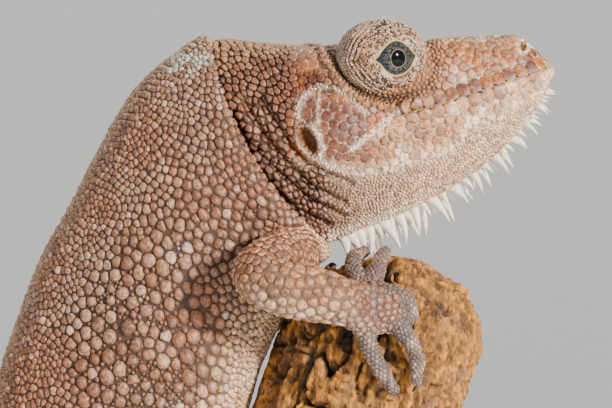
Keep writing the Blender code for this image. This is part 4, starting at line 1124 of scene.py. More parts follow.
def body_skin(voxel):
    """Trunk, tail and limbs made one surface by a voxel remesh of their closed forms, then smoothed."""
    rough = make_object("rough_body", *joined([closed_form(tables()[name]) for name in body_names()]))
    remesh = rough.modifiers.new("Remesh", "REMESH")
    remesh.mode, remesh.voxel_size = "VOXEL", voxel
    smooth = rough.modifiers.new("Smooth", "SMOOTH")
    smooth.factor, smooth.iterations = 0.5, 4
    graph = bpy.context.evaluated_depsgraph_get()
    mesh = bpy.data.meshes.new_from_object(rough.evaluated_get(graph))
    whole = bpy.data.objects.new("whole_body", mesh)
    points = mesh_points(whole)
    corner = gather(mesh.loops, "vertex_index", kind=np.int32)
    sides = gather(mesh.polygons, "loop_total", kind=np.int32)
    if not len(sides) or (sides != 4).any():
        raise RuntimeError("the remesh of the body gave no plain quads")
    for spare in (rough, whole):
        bpy.data.objects.remove(spare, do_unlink=True)
    return points, corner.reshape(-1, 4)


def skin_faces(obj, part):
    """Points and quads of one part of the skin: 0 the head, 1 the body and 2 the lids."""
    points = mesh_points(obj)
    value = gather(obj.data.attributes["part"].data, "value")
    sides = gather(obj.data.polygons, "loop_total", kind=np.int32)
    starts = run_of(sides)[:-1].astype(int)[sides == 4]
    quads = gather(obj.data.loops, "vertex_index", kind=np.int32)[starts[:, None] + np.arange(4)]
    return points, quads[value[quads[:, 0]].round() == part]


def settle_on(seeds, tree):
    """Seeds moved to the nearest place on the body's skin, without those that are buried in another form."""
    hits = [tree.find_nearest(place) for place in seeds["place"]]
    place, normal, away = (np.array([hit[part] for hit in hits]) for part in (0, 1, 3))
    keep = (away < SETTLE_AWAY) & (np.sum(normal * seeds["normal"], axis=1) > SETTLE_AGREE)
    seeds = dict(seeds, place=place, normal=unit(normal + 1.5 * seeds["normal"]))
    seeds["way"] = laid(seeds["way"], seeds["normal"])
    return pick(seeds, keep)


def filled(seeds, points, quads, rng):
    """More seeds where the body's skin has none near, as in the bends between limbs and trunk. Places are
    taken in a drawn order, each kept if no other is nearer than its size."""
    middle = points[quads].mean(axis=1)
    a, b, c, d = (points[quads[:, corner]] for corner in range(4))
    tree = tree_of(seeds["place"])
    hits = [tree.find(place) for place in middle]
    near, away = (np.array([hit[part] for hit in hits]) for part in (1, 2))
    size = seeds["size"][near]
    bare = np.nonzero(away > FILL_SHARE * size)[0]
    rng.shuffle(bare)
    taken, kept = {}, []
    for k in bare:
        cell = (middle[k] // FILL_CELL).astype(int)
        others = (other for step in np.ndindex(3, 3, 3) for other in taken.get(tuple(cell + step - 1), ()))
        if all(math.dist(middle[k], middle[other]) >= FILL_SHARE * size[k] for other in others):
            taken.setdefault(tuple(cell), []).append(k)
            kept.append(k)
    kept = np.array(kept, int)
    added = pick(seeds, near[kept])
    added["place"], added["normal"] = middle[kept], unit(np.cross(c - a, d - b))[kept]
    added["way"] = laid(added["way"], added["normal"])
    return together([seeds, added])


def between(seeds, rng, wide):
    """Seeds of small grains in the corners between three scales that stand apart."""
    place, size = seeds["place"], seeds["size"]
    index, _ = neighbours(place, 7)
    off = place[index] - place[:, None]
    across = np.cross(seeds["normal"], seeds["way"])
    bearing = np.arctan2(*(np.sum(off * axis[:, None], 2) for axis in (across, seeds["way"])))
    index = np.take_along_axis(index, np.argsort(bearing, axis=1), 1)
    first = np.repeat(np.arange(len(place)), index.shape[1])
    threes = np.sort(np.stack([first, index.ravel(), np.roll(index, -1, axis=1).ravel()], 1), axis=1)
    threes, counts = np.unique(threes, axis=0, return_counts=True)
    threes = threes[(counts > 1) & (threes[:, 0] != threes[:, 1]) & (threes[:, 1] != threes[:, 2])]
    corners = place[threes]
    sides = np.linalg.norm(corners - np.roll(corners, 1, axis=1), axis=2)
    good = (sides.max(axis=1) < 1.7 * size[threes].mean(axis=1)) & (size[threes].min(axis=1) > wide)
    good &= seeds["region"][threes[:, 0]] == seeds["region"][threes[:, 1]]
    threes, corners = threes[good], corners[good]
    weight = (1 / size[threes])[..., None]
    added = pick(seeds, threes[:, 0])
    added["place"] = (corners * weight).sum(axis=1) / weight.sum(axis=1)
    added["normal"] = unit(seeds["normal"][threes].sum(axis=1))
    added["way"] = laid(added["way"], added["normal"])
    added["size"] = size[threes].mean(axis=1) * rng.uniform(0.26, 0.40, len(threes))
    return added


def finish_seeds(seeds, rng):
    """Plain looks for a group of seeds, with a drawn tone, tilt and lean for each."""
    count = len(seeds["place"])
    put(seeds, height=0.35, cap=1.3, long=1.0, wide=1.0, gap=0.14, keel=0.0, over=0.0)
    return put(seeds, tone=rng.random(count), tilt=rng.normal(0, 0.03, count),
               lean=rng.normal(0, 0.04, count))


def head_seeds():
    """Seeds of the head and neck: the labial rows first, then scales of the head's sizes all round them."""
    rng = np.random.default_rng(SEED)
    table = tables()["head"]
    fixed = np.concatenate([labial_rows(table, 1.12, 2.15), labial_rows(table, -1.08, 2.3)], axis=1)
    seeds = seeds_on(table, *scatter(table, head_sizes, 16, fixed, lie=head_lie), 0, 0.0)
    place, size = seeds["place"], head_sizes(seeds["place"])
    size[:len(fixed[0])] = np.interp(place[:len(fixed[0]), 0], (37.0, 40.7), (2.2, 1.4))
    neck = on_neck(place)
    seeds["way"] = np.where(neck[:, None] > 0.5, laid(head_lie(place)[0], seeds["normal"]), seeds["way"])
    finish_seeds(seeds, rng)
    seeds["fine"] = small = size < 1.0
    moat = 1 - ease(from_dome(place)[0], 1.3, 1.7)
    return put(seeds, size=size, map_u=seeds["u"], map_v=seeds["v"],
               height=np.where(small, 0.08 + 0.20 * size, 0.22 + 0.28 * neck),
               cap=np.where(small, 1.25, 2.3 - 1.12 * np.maximum(neck, 0.8 * moat)),
               gap=np.where(small, 0.02, 0.02 + 0.03 * neck), long=1 + 0.32 * neck, wide=1 - 0.24 * neck)


def lids_seeds():
    """Seeds of the grains in rings round each eye's slit, finest at its edge."""
    rng = np.random.default_rng(SEED + 1)
    size = size_of("lid_grain")
    parts = []
    for region, (_, word) in enumerate(SIDES):
        table = tables()["lids_" + word]
        u, v = lattice(table, lambda at: size * (0.82 + 0.7 * at), 1.0, 0.035, 0.995)
        v = v + rng.normal(0, 0.0012, len(v))
        u = np.clip(u + rng.normal(0, 0.0022, len(u)), 0, 1)
        seeds = seeds_on(table, u, v, LID_REGION + region, size * (0.82 + 0.7 * u))
        parts.append(finish_seeds(put(seeds, map_u=0.5 * (u + region), map_v=v % 1), rng))
    seeds = together(parts)
    return put(seeds, height=seeds["size"] * rng.uniform(0.24, 0.42, len(seeds["size"])), cap=1.3, gap=0.03)


def paw_sizes(points, spacing):
    """Width of a limb's scattered scales, larger and smaller by patches."""
    return spacing * (1 + 0.3 * noise(points, 3.0, 12))


# Regions of the body: the spacing, the rows' aspect, and the height, keel, tilt and overlap of the scales.
# An aspect of 0 scatters them instead of laying them in rows.
LIMB_LOOKS = {
    "upper": (1.45, 1.60, 0.22, 0.24, 0.13, 0.40),
    "forearm": (2.20, 0.0, 0.20, 0.00, 0.04, 0.04),
    "thigh": (1.60, 1.30, 0.24, 0.14, 0.12, 0.25),
    "shank": (1.45, 0.0, 0.22, 0.08, 0.06, 0.10),
    "palm": (1.50, 0.0, 0.18, 0.00, 0.02, 0.02),
    "digit": (0.85, 0.90, 0.17, 0.02, 0.06, 0.10),
    "tail": (1.55, 1.20, 0.24, 0.16, 0.12, 0.25),
}
REGIONS = ("head", "trunk", "upper", "forearm", "thigh", "shank", "palm", "digit", "tail")


def body_seeds():
    """Seeds of the trunk, tail and limbs on the body's skin, filled in where those forms meet."""
    rng = np.random.default_rng(SEED + 2)
    points, quads = skin_faces(bpy.data.objects["anole_skin"], 1)
    tree = BVHTree.FromPolygons(points.tolist(), quads.tolist())
    names = body_names()
    parts = []
    for k, name in enumerate(names):
        table = tables()[name]
        kind = name.split("_")[0]
        region = REGIONS.index(kind)
        if kind == "trunk":
            seeds = seeds_on(table, *scatter(table, trunk_sizes, 12, lie=trunk_lie), region, 0.0)
            count = len(seeds["u"])
            seeds["way"] = laid(trunk_lie(seeds["place"])[0], seeds["normal"])
            size = trunk_sizes(seeds["place"]) * rng.uniform(0.8, 1.2, count)
            finish_seeds(seeds, rng)
            large = ease(size, 1.3, 2.2)
            put(seeds, size=size, height=0.08 + 0.26 * size * rng.uniform(0.8, 1.25, count),
                cap=1.16 - 0.06 * large, gap=0.04 + 0.03 * large, long=1.15, wide=0.92)
        else:
            spacing, aspect, high, keel, tilt, over = LIMB_LOOKS[kind]
            spacing = spacing * bpy.context.scene.anole_sizes.limb_scale
            if kind == "tail":
                u, v = lattice(table, lambda at: spacing * (1.08 - 0.62 * at), aspect, 0.02)
                size = spacing * (1.08 - 0.62 * u)
            elif aspect:
                u, v = lattice(table, lambda at: spacing, aspect, 0.03, 0.985)
                size = np.full(len(u), spacing)
            else:
                u, v = scatter(table, lambda at: paw_sizes(at, spacing), 7, seed=k)
                size = paw_sizes(read(table, u, v), spacing)
            u = np.clip(u + rng.normal(0, 0.05, len(u)) * size / max(len(table), 30), 0, 1)
            seeds = seeds_on(table, u, v, region, size * rng.uniform(0.9, 1.1, len(u)))
            finish_seeds(seeds, rng)
            share = seeds["size"] / 1.3
            put(seeds, height=high * share, keel=keel * share, tilt=seeds["tilt"] + tilt, long=aspect or 1.0,
                cap=1.3 if aspect else 1.5, over=over, gap=0.07 * share)
        put(seeds, map_u=(k + seeds["u"]) / len(names), map_v=seeds["v"] % 1)
        parts.append(settle_on(seeds, tree))
    seeds = together(parts)
    index, away = neighbours(seeds["place"], 3)
    near = away < 0.62 * np.minimum(seeds["size"][:, None], seeds["size"][index])
    near &= index < np.arange(len(index))[:, None]
    return filled(pick(seeds, ~near.any(axis=1)), points, quads, rng)


# Pale lines of the head: each with its half width in pixels and its strength.
PALE_LINES = (
    (CHEEK_LINES[0], 2.4, 1.0), (CHEEK_LINES[1], 2.2, 1.0), (CHEEK_LINES[2], 1.2, 1.0),
    (CORNER_FOLD, 3.0, 1.0), (EAR_RIM, 3.4, 1.0), (LABIAL_LINE, 1.3, 0.3), (JAW_EDGE, 7.0, 0.55),
)
# Orange patches of the head in the side view: middle, half width and height in pixels, and strength.
ORANGE_PATCHES = (
    (312, 82, 28, 9, 0.9), (392, 103, 26, 9, 0.9), (440, 76, 16, 12, 0.7), (488, 77, 26, 9, 0.8),
    (468, 66, 9, 8, 0.9), (420, 83, 12, 9, 0.7), (452, 62, 22, 12, 0.6), (352, 98, 26, 8, 0.7),
    (524, 50, 6, 6, 0.8),
)


# Markings: each gives the colour of a scale, of its rim and of the skin between scales. Those of the head
# and lids also paint shade into creases and hollows, and those of the lids a highlight on their folds.
def head_marks_and_shade(points):
    """Colours of the head by place: rose plates with pale rims, orange by the eye and over the lips, white
    lines round the cheek, a pale throat and a dark neck, and painted shade in the neck's folds and in the
    moat round the lids."""
    colour = palette()
    spots, flat, x = in_photo(points), points[..., [0, 2]], points[..., 0]
    above = mouth_height(points)
    broad, mottle = noise(points, 3.2, 21), noise(points, 1.3, 22)
    under = ease(-above, 0.0, 0.8) * ease(x, 9, 14)
    rust = bump_at(spots, 312, 82, 30, 11)
    ground = blend(
        colour["head"] * np.ones(points.shape[:-1] + (3,)),
        (colour["orange"], 0.75 * ease(broad + 0.6 * mottle, -0.35, 0.7)),
        (colour["crown"], 0.8 * ease(points[..., 2], 26.0, 28.6)),
        (colour["cheek"], bump_at(spots, 334, 124, 36, 42) * (0.85 + 0.3 * mottle)),
        (colour["jaw"], 0.8 * under * (0.8 + 0.3 * broad)),
        *((colour["orange"], strong * bump_at(spots, *patch) * (0.85 + 0.5 * mottle))
          for *patch, strong in ORANGE_PATCHES),
        (colour["speckle"] * 1.7, rust * ease(mottle + 0.5 * broad, -0.4, 0.3) * 0.85))
    ground = ground * (1 - rust[..., None] * (0.0, 0.1, 0.3))
    bars = noise(points, 1.5, 25) + 0.35 * noise(points, 0.6, 26)
    clouds = ease(noise(points, 2.3, 27) + 0.4 * mottle, 0.05, 0.55)
    below = from_line(spots, JAW_EDGE, True)
    throat, neck = ease(below, -6, 8), on_neck(points)
    # Painted shade in the neck's folds and where the trunk's edge lies over the neck.
    crease = np.maximum.reduce([near_line(spots, line, 2.8) for line in NECK_FOLDS]) * neck
    top, keel = (from_line(flat, HEAD_RIBS[:, start:start + 2]) for start in (0, 2))
    pale = 1.1 * ease(-keel, -3.2, -1.2) * ease(-x, -26, -12) * ease(x, -2, 4)
    for line, width, strong in PALE_LINES:
        pale = np.maximum(pale, strong * near_line(spots, line, width))
    (out, behind), ear, nose = from_dome(points), in_ear(points), from_nostril(points)
    # Painted shade in the moat round the lids' dome, stronger behind and below it.
    moat_shade = 0.8 * bell(out, 1.04, 0.12)
    ground = blend(
        ground,
        (colour["speckle"] * 1.5, 0.85 * ease(bars, 0.22, 0.48) * ease(above, 0.1, 0.5)
         * (1 - ease(above, 2.2, 3.4)) * ease(x, 15, 20)),
        (colour["white"], 0.62 * clouds * under * (1 - ease(spots[..., 0], 505, 525))),
        (colour["white"] * 0.9,
         0.25 * ease(noise(points, 1.9, 28), 0.15, 0.6) * ease(above, 1.5, 3.0) * ease(x, 17, 22)),
        (colour["throat"], throat),
        (colour["neck"] * 1.25, 0.6 * throat * ease(-spots[..., 0], -430, -330)),
        (colour["speckle"], 0.55 * throat * ease(noise(points, 0.9, 31), 0.05, 0.5) * ease(below, 8, 40)),
        (colour["neck"], neck * (0.9 + 0.25 * mottle)),
        (colour["crown"], 0.45 * neck * ease(noise(points, 1.7, 29), 0.0, 0.6)),
        # painted shade in the neck's folds
        (colour["between"] * 0.8, 0.8 * crease),
        (colour["crown"] * 1.2, 0.75 * (1 - ease(top, 0.9, 3.2)) * ease(-x, -6, 2)),
        (colour["white"], pale * (0.78 + 0.3 * noise(points, 0.9, 24))),
        (colour["lid"] * 0.6, 0.6 * (1 - ease(out, 1.25, 1.6)) * (0.8 + 0.5 * mottle)),
        # painted shade in the moat round the lids
        (colour["between"], moat_shade * (0.5 + 0.5 * behind)),
        (colour["ear"], 1 - ease(ear, 0.85, 1.15)),
        (colour["white"], 0.7 * bell(nose, 1.2, 0.3)),
        (colour["ear"] * 1.3, 1 - ease(nose, 0.6, 0.9)))
    head = (1 - neck) * (1 - throat)
    rim = blend(
        ground,
        (colour["white"],
         0.66 * head * (1 - rust) * (0.8 + 0.4 * broad) * ease(out, 1.3, 1.7) + 0.25 * throat),
        (ground * 0.6, np.maximum(neck, rust)))
    gap = blend(
        ground * 0.6,
        (colour["white"] * 0.9, 0.8 * head * (1 - rust) * ease(out, 1.35, 1.7)),
        (colour["between"] * 0.8, neck * 0.95),
        # painted shade in the moat round the lids, on the skin between the scales
        (colour["between"], moat_shade * ease(behind, -0.6, 0.6)),
        (colour["ear"], 1 - ease(ear, 0.95, 1.2)),
        (colour["ear"] * 1.3, 1 - ease(nose, 0.6, 1.0)))
    return ground, rim, gap


def lids_marks_and_light(seeds):
    """Colours of the lids: tan grains, a share of them dark, in drawn-out speckles, with a pale edge;
    painted shade in the folds' creases and over the hind and lower side, and a painted highlight on the
    folds' crests there.
    """
    colour, place = palette(), seeds["place"]
    ring = np.stack([seeds["u"] * 90, seeds["v"] % 1 * 90, seeds["region"]], 1)
    dark = 0.4 * noise(ring, 1.0, 61) + 0.25 * noise(place, 1.6, 62) + 1.3 * (seeds["tone"] - 0.5)
    deep, forward, up = eye_off(place)
    turn = np.arctan2(up, forward)
    edge = slit_turn(turn)
    share = (np.arctan2(np.hypot(up, forward), deep) - edge) / (DOME_END - edge)
    behind = ease(np.cos(turn - math.radians(208)), -0.35, 0.6)
    fold = lid_folds(share, turn) / (0.08 + 0.36 * behind)
    tan = colour["lid"] * np.ones_like(place)
    ground = blend(
        tan,
        (colour["white"], 0.7 * ease(noise(place, 2.6, 63), -0.1, 0.4)),
        (colour["orange"], 0.35 * ease(noise(place, 3.1, 64), 0.15, 0.6)),
        (colour["speckle"] * 0.8, ease(dark, 0.03, 0.1)),
        # Painted shade in the creases between the folds, strongest behind and below.
        (colour["speckle"] * 0.7, (0.25 + 0.75 * behind) * ease(-fold, -0.1, 0.6) * ease(share, 0.12, 0.34)),
        # Painted highlight on the crests of the folds behind and below.
        (colour["white"], 0.5 * behind * ease(fold, 0.5, 0.95)))
    # Painted shade over the hind and lower side of the lids.
    ground = ground * (1 - 0.38 * behind * ease(share, 0.25, 0.6))[:, None]
    return ground, ground * 0.85, blend(0.35 * tan, (ground, np.full(len(place), 0.3)))


def body_marks(seeds):
    """Colours of the trunk, limbs and tail: tan domes over dark skin, a pale belly, brown arms, grey digits
    and a tail with soft bands."""
    colour, place, drawn = palette(), seeds["place"], seeds["tone"]
    trunk, upper, forearm, thigh, shank, palm, digit, tail = (
        seeds["region"] == REGIONS.index(kind) for kind in REGIONS[1:])
    arm, leg = upper | forearm, thigh | shank
    limbs = ~trunk
    broad, mottle = noise(place, 9.0, 41), noise(place, 2.4, 42)
    back, belly = from_back(place), from_belly(place)
    pale = (1 - ease(belly, 2.5, 12.0)) * trunk
    frost = ease(noise(place, 2.2, 43) + drawn - 0.5, -0.5, 0.5)
    frost = bump_at(in_photo(place), 184, 52, 30, 26) * trunk * frost
    patch = ease(noise(place, 2.8, 44) + 0.5 * (drawn - 0.5), 0.1, 0.5)
    under = ease(-seeds["normal"][:, 2], 0.1, 0.8) * limbs
    band = 0.5 + 0.5 * np.sin(2 * math.pi * 10 * seeds["u"])
    plain = np.ones_like(place)
    ground = blend(
        colour["flank"] * plain,
        (colour["grey"], 0.9 * ease(broad + 0.8 * (drawn - 0.5), -0.3, 0.6)),
        (colour["belly"], 0.85 * pale),
        (colour["neck"] * 1.25, 0.5 * (ease(place[:, 0], -24, -8) * trunk * (1 - pale))),
        (colour["crown"], 0.6 * (1 - ease(back, 0.5, 3.0)) * trunk),
        (colour["frost"], 0.6 * frost),
        (colour["arm"] * 0.72, arm * (0.85 + 0.2 * mottle)),
        (colour["arm"], 0.6 * leg),
        (colour["finger"], 0.75 * patch * (forearm | shank)),
        (colour["orange"], 0.3 * ease(noise(place, 2.2, 45), 0.1, 0.6) * arm),
        (colour["jaw"], 0.45 * forearm),
        (colour["belly"], 0.6 * under * ~(digit | tail)),
        (colour["arm"] * 1.1, palm * (1 - 0.7 * under)),
        (colour["finger"], palm * (0.2 + 0.6 * patch) + digit * (0.9 + 0.2 * mottle)),
        (colour["belly"], 0.5 * (digit + 0.4 * palm) * ease(noise(place, 1.2, 46), 0.1, 0.6)),
        (colour["speckle"], tail * 0.45 * ease(band + 0.3 * mottle, 0.45, 1.0)))
    gap = blend(
        colour["flank"] * 0.3 * plain,
        (colour["between"] * 0.8, ease(back, 1, 8) * (0.8 + 0.4 * broad)),
        (colour["jaw"] * 0.4, 0.8 * pale ** 2),
        (colour["frost"] * 0.8, 0.4 * frost),
        (ground * 0.5, limbs * 0.8))
    ground = blend(ground, (colour["white"], ease(drawn, 0.93, 0.98) * trunk * 0.2))
    domes = blend(ground, (colour["white"], np.full(len(place), 0.12)))
    return ground, blend(ground * 0.72, (domes, trunk), (colour["lid"], 0.6 * upper)), gap


def spread(seeds, marks):
    """Give the seeds their markings, and give back the colours of the skin between them."""
    seeds["ground"], seeds["rim"], gap = marks
    return gap


def spine_forms(roots, outs, alongs, lengths, widths, bend, sides, rings, taper):
    """Curved tapering spines. A path leaves its root along its own way out and bends by the square of the
    share of its length. The radius falls by 1 less a power of the share, to a power: the taper's two."""
    t = np.linspace(0, 1, rings)[None, :, None]
    length, width, bend = (np.asarray(values, float)[:, None, None] for values in (lengths, widths, bend))
    outs, alongs = outs[:, None], alongs[:, None]
    path = roots[:, None] + (length + 1.0) * t * outs - 1.0 * outs + bend * length * t ** 2 * alongs
    way = unit(np.gradient(path, axis=1))
    across = unit(np.cross(way, alongs))
    flat = unit(np.cross(across, way))
    radius = width * (0.05 + 0.95 * (1 - t ** taper[0]) ** taper[1])
    turn = corner_turns(sides)[:, None]
    ring = path[:, :, None] + radius[..., None] * (
        np.cos(turn) * flat[:, :, None] + 0.8 * np.sin(turn) * across[:, :, None])
    return joined([closed_form(outwards(table)) for table in ring])


def edge_of(ribs, at, back, column):
    """Places along one edge of a row of ribs, and the way ahead, read a part of a rib before each."""
    here, ahead = (smooth_rows(ribs, rows)[:, column:column + 2] for rows in (at, at - back))
    here, way = (np.insert(flat, 1, 0.0, axis=1) for flat in (here, ahead - here))
    return here, unit(way)


def beard_form():
    """The beard: spines in two close rows along the throat's lower edge, long and small by turns, that leave
    the skin forwards and curl down."""
    rng = np.random.default_rng(SEED + 5)
    each, share = np.arange(BEARD_COUNT), np.linspace(0, 1, BEARD_COUNT)
    at = 0.8 + 11.8 * share ** 0.86 + rng.uniform(-0.07, 0.07, BEARD_COUNT)
    root, along = edge_of(HEAD_RIBS, at, 0.2, 2)
    side = np.where(each % 2, -1.0, 1.0)
    lean = 0.30 + 0.18 * np.sin(1.1 * each) + rng.uniform(-0.12, 0.12, BEARD_COUNT)
    out = unit(np.stack([along[:, 2], (0.16 + 0.1 * share) * side, -along[:, 0]], 1) + lean[:, None] * along)
    root[:, 1] = (0.45 + 0.4 * share) * side
    length = np.interp(share, np.linspace(0, 1, len(BEARD)), BEARD) * (1 + 0.25 * share)
    length = length * np.where(each % 4 < 2, 1.1, 0.6) * rng.uniform(0.88, 1.12, BEARD_COUNT)
    width = (0.50 + 0.10 * length) * (1 + 0.25 * share)
    bend = -0.22 - 0.2 * rng.random(BEARD_COUNT)
    return spine_forms(root, out, along, length, width, bend, 9, 9, (1.0, 1.0))


def crest_form():
    """The crest: low blunt beads that overlap like a rope along the middle of the back."""
    rng = np.random.default_rng(SEED + 6)
    root, along = edge_of(TRUNK_RIBS, np.linspace(0.3, 13.4, CREST_COUNT), 0.1, 0)
    none = np.zeros(CREST_COUNT)
    out = np.stack([-along[:, 2], none, along[:, 0]], 1)
    size = np.interp(np.linspace(0, 1, CREST_COUNT), np.linspace(0, 1, len(CREST)), CREST)
    size = size * rng.uniform(0.8, 1.2, CREST_COUNT) * 0.2
    return spine_forms(root - 0.15 * out, out, along, size, none + 1.05, none, 10, 6, (3.0, 0.5))


def claws_form():
    """Claws: a flattened cone from each digit's end that curls down to the bark by a quarter turn."""
    forms = []
    for _, word in SIDES:
        for tip, ahead, lift, thick in tables()["claws_" + word]:
            t = np.linspace(0, 1, 12)[:, None]
            start = tip - 0.3 * ahead + 0.15 * thick * lift
            drop = (thick - 0.1) * t ** 2.2
            path = (start + (CLAW_LENGTH + 0.5) * (t - 0.12 * t ** 3) * ahead
                    + (0.35 * np.sin(math.pi * t) - drop) * lift)
            radius = CLAW_RADIUS * (1 - t[:, 0]) ** 0.75 * 0.95 + 0.04
            radii = np.stack([radius * 1.05, radius * 0.75], 1)
            forms.append(closed_form(tube_table(path, radii, lift, 14, 10, False)))
    return joined(forms)


def loop_quads(rows, cols):
    """Quads of a grid that closes on itself both ways."""
    i, j = np.meshgrid(np.arange(rows), np.arange(cols), indexing="ij")
    i2, j2 = (i + 1) % rows, (j + 1) % cols
    return np.stack([i * cols + j, i2 * cols + j, i2 * cols + j2, i * cols + j2], -1).reshape(-1, 4)


def lid_rim_form(side, rows=140, cols=10):
    """A thin rounded rim carried round the edge of an eye's slit."""
    turn, around = circle(rows), circle(cols)[None, :, None]
    edge = slit_turn(turn)
    path = eye_places(side, turn, edge - 0.004, dome_radius(turn, edge) - size_of("coat_depth") - 0.10)
    ahead = unit(np.roll(path, -1, axis=0) - np.roll(path, 1, axis=0))
    across = unit(np.cross(ahead, eye_frame(side)[0]))
    lift = np.cross(across, ahead)
    ring = path[:, None] + LID_RIM * (
        np.cos(around) * across[:, None] + 1.3 * np.sin(around) * lift[:, None])
    return outwards(ring).reshape(-1, 3), loop_quads(rows, cols), np.empty((0, 3), int)


def mouth_form():
    """The thin edge of the lips: a tube along the line of the mouth, from one corner round the snout."""
    table = tables()["head"]
    u, v = labial_rows(table, 0.0, 0.5, 99.0)
    half = len(u) // 2
    order = np.concatenate([np.arange(half)[::-1], half + np.arange(half)])
    u, v = u[order], v[order]
    path = read(table, u, v) + 0.53 * read(normals_of(table), u, v)
    radii = np.tile((0.10, 0.29), (len(u), 1))
    return closed_form(tube_table(path, radii, np.array([0.0, 0.0, 1.0]), 260, 8))


def eye_form(side, rows=64, cols=96):
    """The front of an eyeball: a cap of a sphere round the gaze, closed behind, with the cornea's smaller
    sphere standing out of it in the middle."""
    turn = circle(cols)[None]
    angle = np.radians(np.linspace(0.4, 36, rows))[:, None] + 0 * turn
    middle = EYE_RADIUS + CORNEA_RISE - CORNEA_RADIUS
    cornea = middle * np.cos(angle) + np.sqrt(CORNEA_RADIUS ** 2 - (middle * np.sin(angle)) ** 2)
    radius = (EYE_RADIUS ** 40 + cornea ** 40) ** (1 / 40) - 0.06
    return closed_form(outwards(eye_places(side, turn, angle, radius)))


def bark_relief(depth, turn):
    """Depths of the bark: lumps parted by deep cracks where a warped noise crosses zero, finer cracks, pits
    and grain. Nearly all lies below the solid's surface, and a knot stands out at the top in front."""
    radius = branch_radius(depth, turn)
    place = np.stack([radius * np.cos(turn), radius * np.sin(turn), 0.5 * depth], -1)
    warp = np.stack([noise(place, 4.0, k) for k in (71, 72, 73)], -1)
    lump = noise(place + 2.4 * warp, 3.4, 74)
    split = noise(place * (1, 1, 1.5) + 1.6 * warp, 1.9, 75)
    knobs = np.abs(noise(place * (1, 1, 1.6) + 0.8 * warp, 1.25, 76))
    grain = noise(place * (1, 1, 2.0), 0.5, 77)
    swell = noise(place, 6.5, 78)
    holes = ease(noise(place * (1, 1, 1.4), 1.5, 79), 0.42, 0.62)
    rough = 0.36 + 0.64 * ease(-np.cos(turn) + 0.3 * swell, -0.35, 0.45)
    relief = -2.2 * rough * bell(lump, 0, 0.11) - 0.9 * (0.5 + 0.5 * rough) * bell(split, 0, 0.16)
    relief = relief - 0.72 + 0.5 * np.abs(lump) * rough + 0.75 * knobs + 0.16 * grain
    relief = relief + 0.35 * swell - 0.7 * holes
    knot = 1.7 * np.exp(-((depth - 2.4) / 0.8) ** 2 - (10 * np.sin(turn) / 1.5) ** 2) * (np.cos(turn) > 0)
    return np.minimum(relief, 0.05) + knot


def perch_form(rows=380, cols=256):
    """The branch: rings down from a worn top, closest in the first third, to a level cut."""
    turn = circle(cols)[None]
    head_z = AXIS_POINT[2] + AXIS_DEPTH * AXIS_UP[2]
    end = (head_z - BRANCH_FOOT + BRANCH_RADIUS * np.cos(turn) * AXIS_OUT[2]) / AXIS_UP[2]
    depth = np.interp(np.linspace(0, 1, rows), (0, 0.12, 0.55, 1), (0.0008, 0.05, 0.36, 1))[:, None] * end
    turn = turn + 0 * depth
    relief = bark_relief(depth, turn) * ease(depth, 0.0, 1.2)
    table = branch_point(depth, turn, relief)
    table[-1, :, 2] = BRANCH_FOOT
    table[:-1, :, 2] = np.maximum(table[:-1, :, 2], BRANCH_FOOT + 0.01)
    return (*closed_form(outwards(table)), np.concatenate([relief.ravel(), [relief[0].mean(), 0.0]]))


def turned_table(x, profile, sides):
    """Rings of a form turned about an upright axis, from radius and height pairs."""
    turn, profile = circle(sides), np.asarray(profile, float)
    radius, level = profile[:, :1], profile[:, 1:]
    return np.stack([x + radius * np.cos(turn), radius * np.sin(turn), level + 0 * turn], -1)


def turned_form(x, profile, sides=160):
    """A turned form with both ends closed."""
    return closed_form(outwards(turned_table(x, profile, sides)))


def round_edge(radius, level, fillet, count):
    """Radius and height pairs of a quarter circle, from the side up to the level."""
    angle = np.radians(np.linspace(0, 90, count))
    return np.stack([radius - fillet + fillet * np.cos(angle), level - fillet + fillet * np.sin(angle)], 1)


# Materials.
def new_node(tree, kind, inputs=None, **values):
    """A shader node with its settings, and for its inputs numbers, colours or other nodes' outputs."""
    node = tree.nodes.new(kind)
    for name, value in values.items():
        setattr(node, name, value)
    for name, value in (inputs or {}).items():
        if isinstance(value, bpy.types.NodeSocket):
            tree.links.new(value, node.inputs[name])
        else:
            node.inputs[name].default_value = value
    return node


def grain_group():
    """A shader group: two sizes of noise on object coordinates, as a shade and a height."""
    found = bpy.data.node_groups.get("Fine grain")
    if found:
        return found
    tree = bpy.data.node_groups.new("Fine grain", "ShaderNodeTree")
    for name, way, kind in (("Scale", "INPUT", "Float"), ("Stretch", "INPUT", "Vector"),
                            ("Shade", "OUTPUT", "Float"), ("Height", "OUTPUT", "Float")):
        tree.interface.new_socket(name, in_out=way, socket_type="NodeSocket" + kind)
    start = new_node(tree, "NodeGroupInput").outputs
    place = new_node(tree, "ShaderNodeTexCoord").outputs["Object"]
    place = new_node(tree, "ShaderNodeVectorMath", {0: place, 1: start["Stretch"]},
                     operation="MULTIPLY").outputs[0]
    finer = new_node(tree, "ShaderNodeMath", {0: start["Scale"], 1: 4.3}, operation="MULTIPLY").outputs[0]
    broad, fine = (
        new_node(tree, "ShaderNodeTexNoise", {"Scale": scale, "Detail": 3.0, "Vector": place}).outputs["Fac"]
        for scale in (start["Scale"], finer))
    height = new_node(tree, "ShaderNodeMath", {0: fine, 1: 0.5, 2: broad},
                      operation="MULTIPLY_ADD").outputs[0]
    new_node(tree, "NodeGroupOutput", {"Shade": ranged(tree, broad, 0.34, 0.66, 0.0, 1.0), "Height": height})
    return tree


def grain_node(tree, scale, stretch=(1, 1, 1)):
    """The fine grain at a scale, stretched along the object's axes."""
    return new_node(tree, "ShaderNodeGroup", {"Scale": scale, "Stretch": stretch}, node_tree=grain_group())


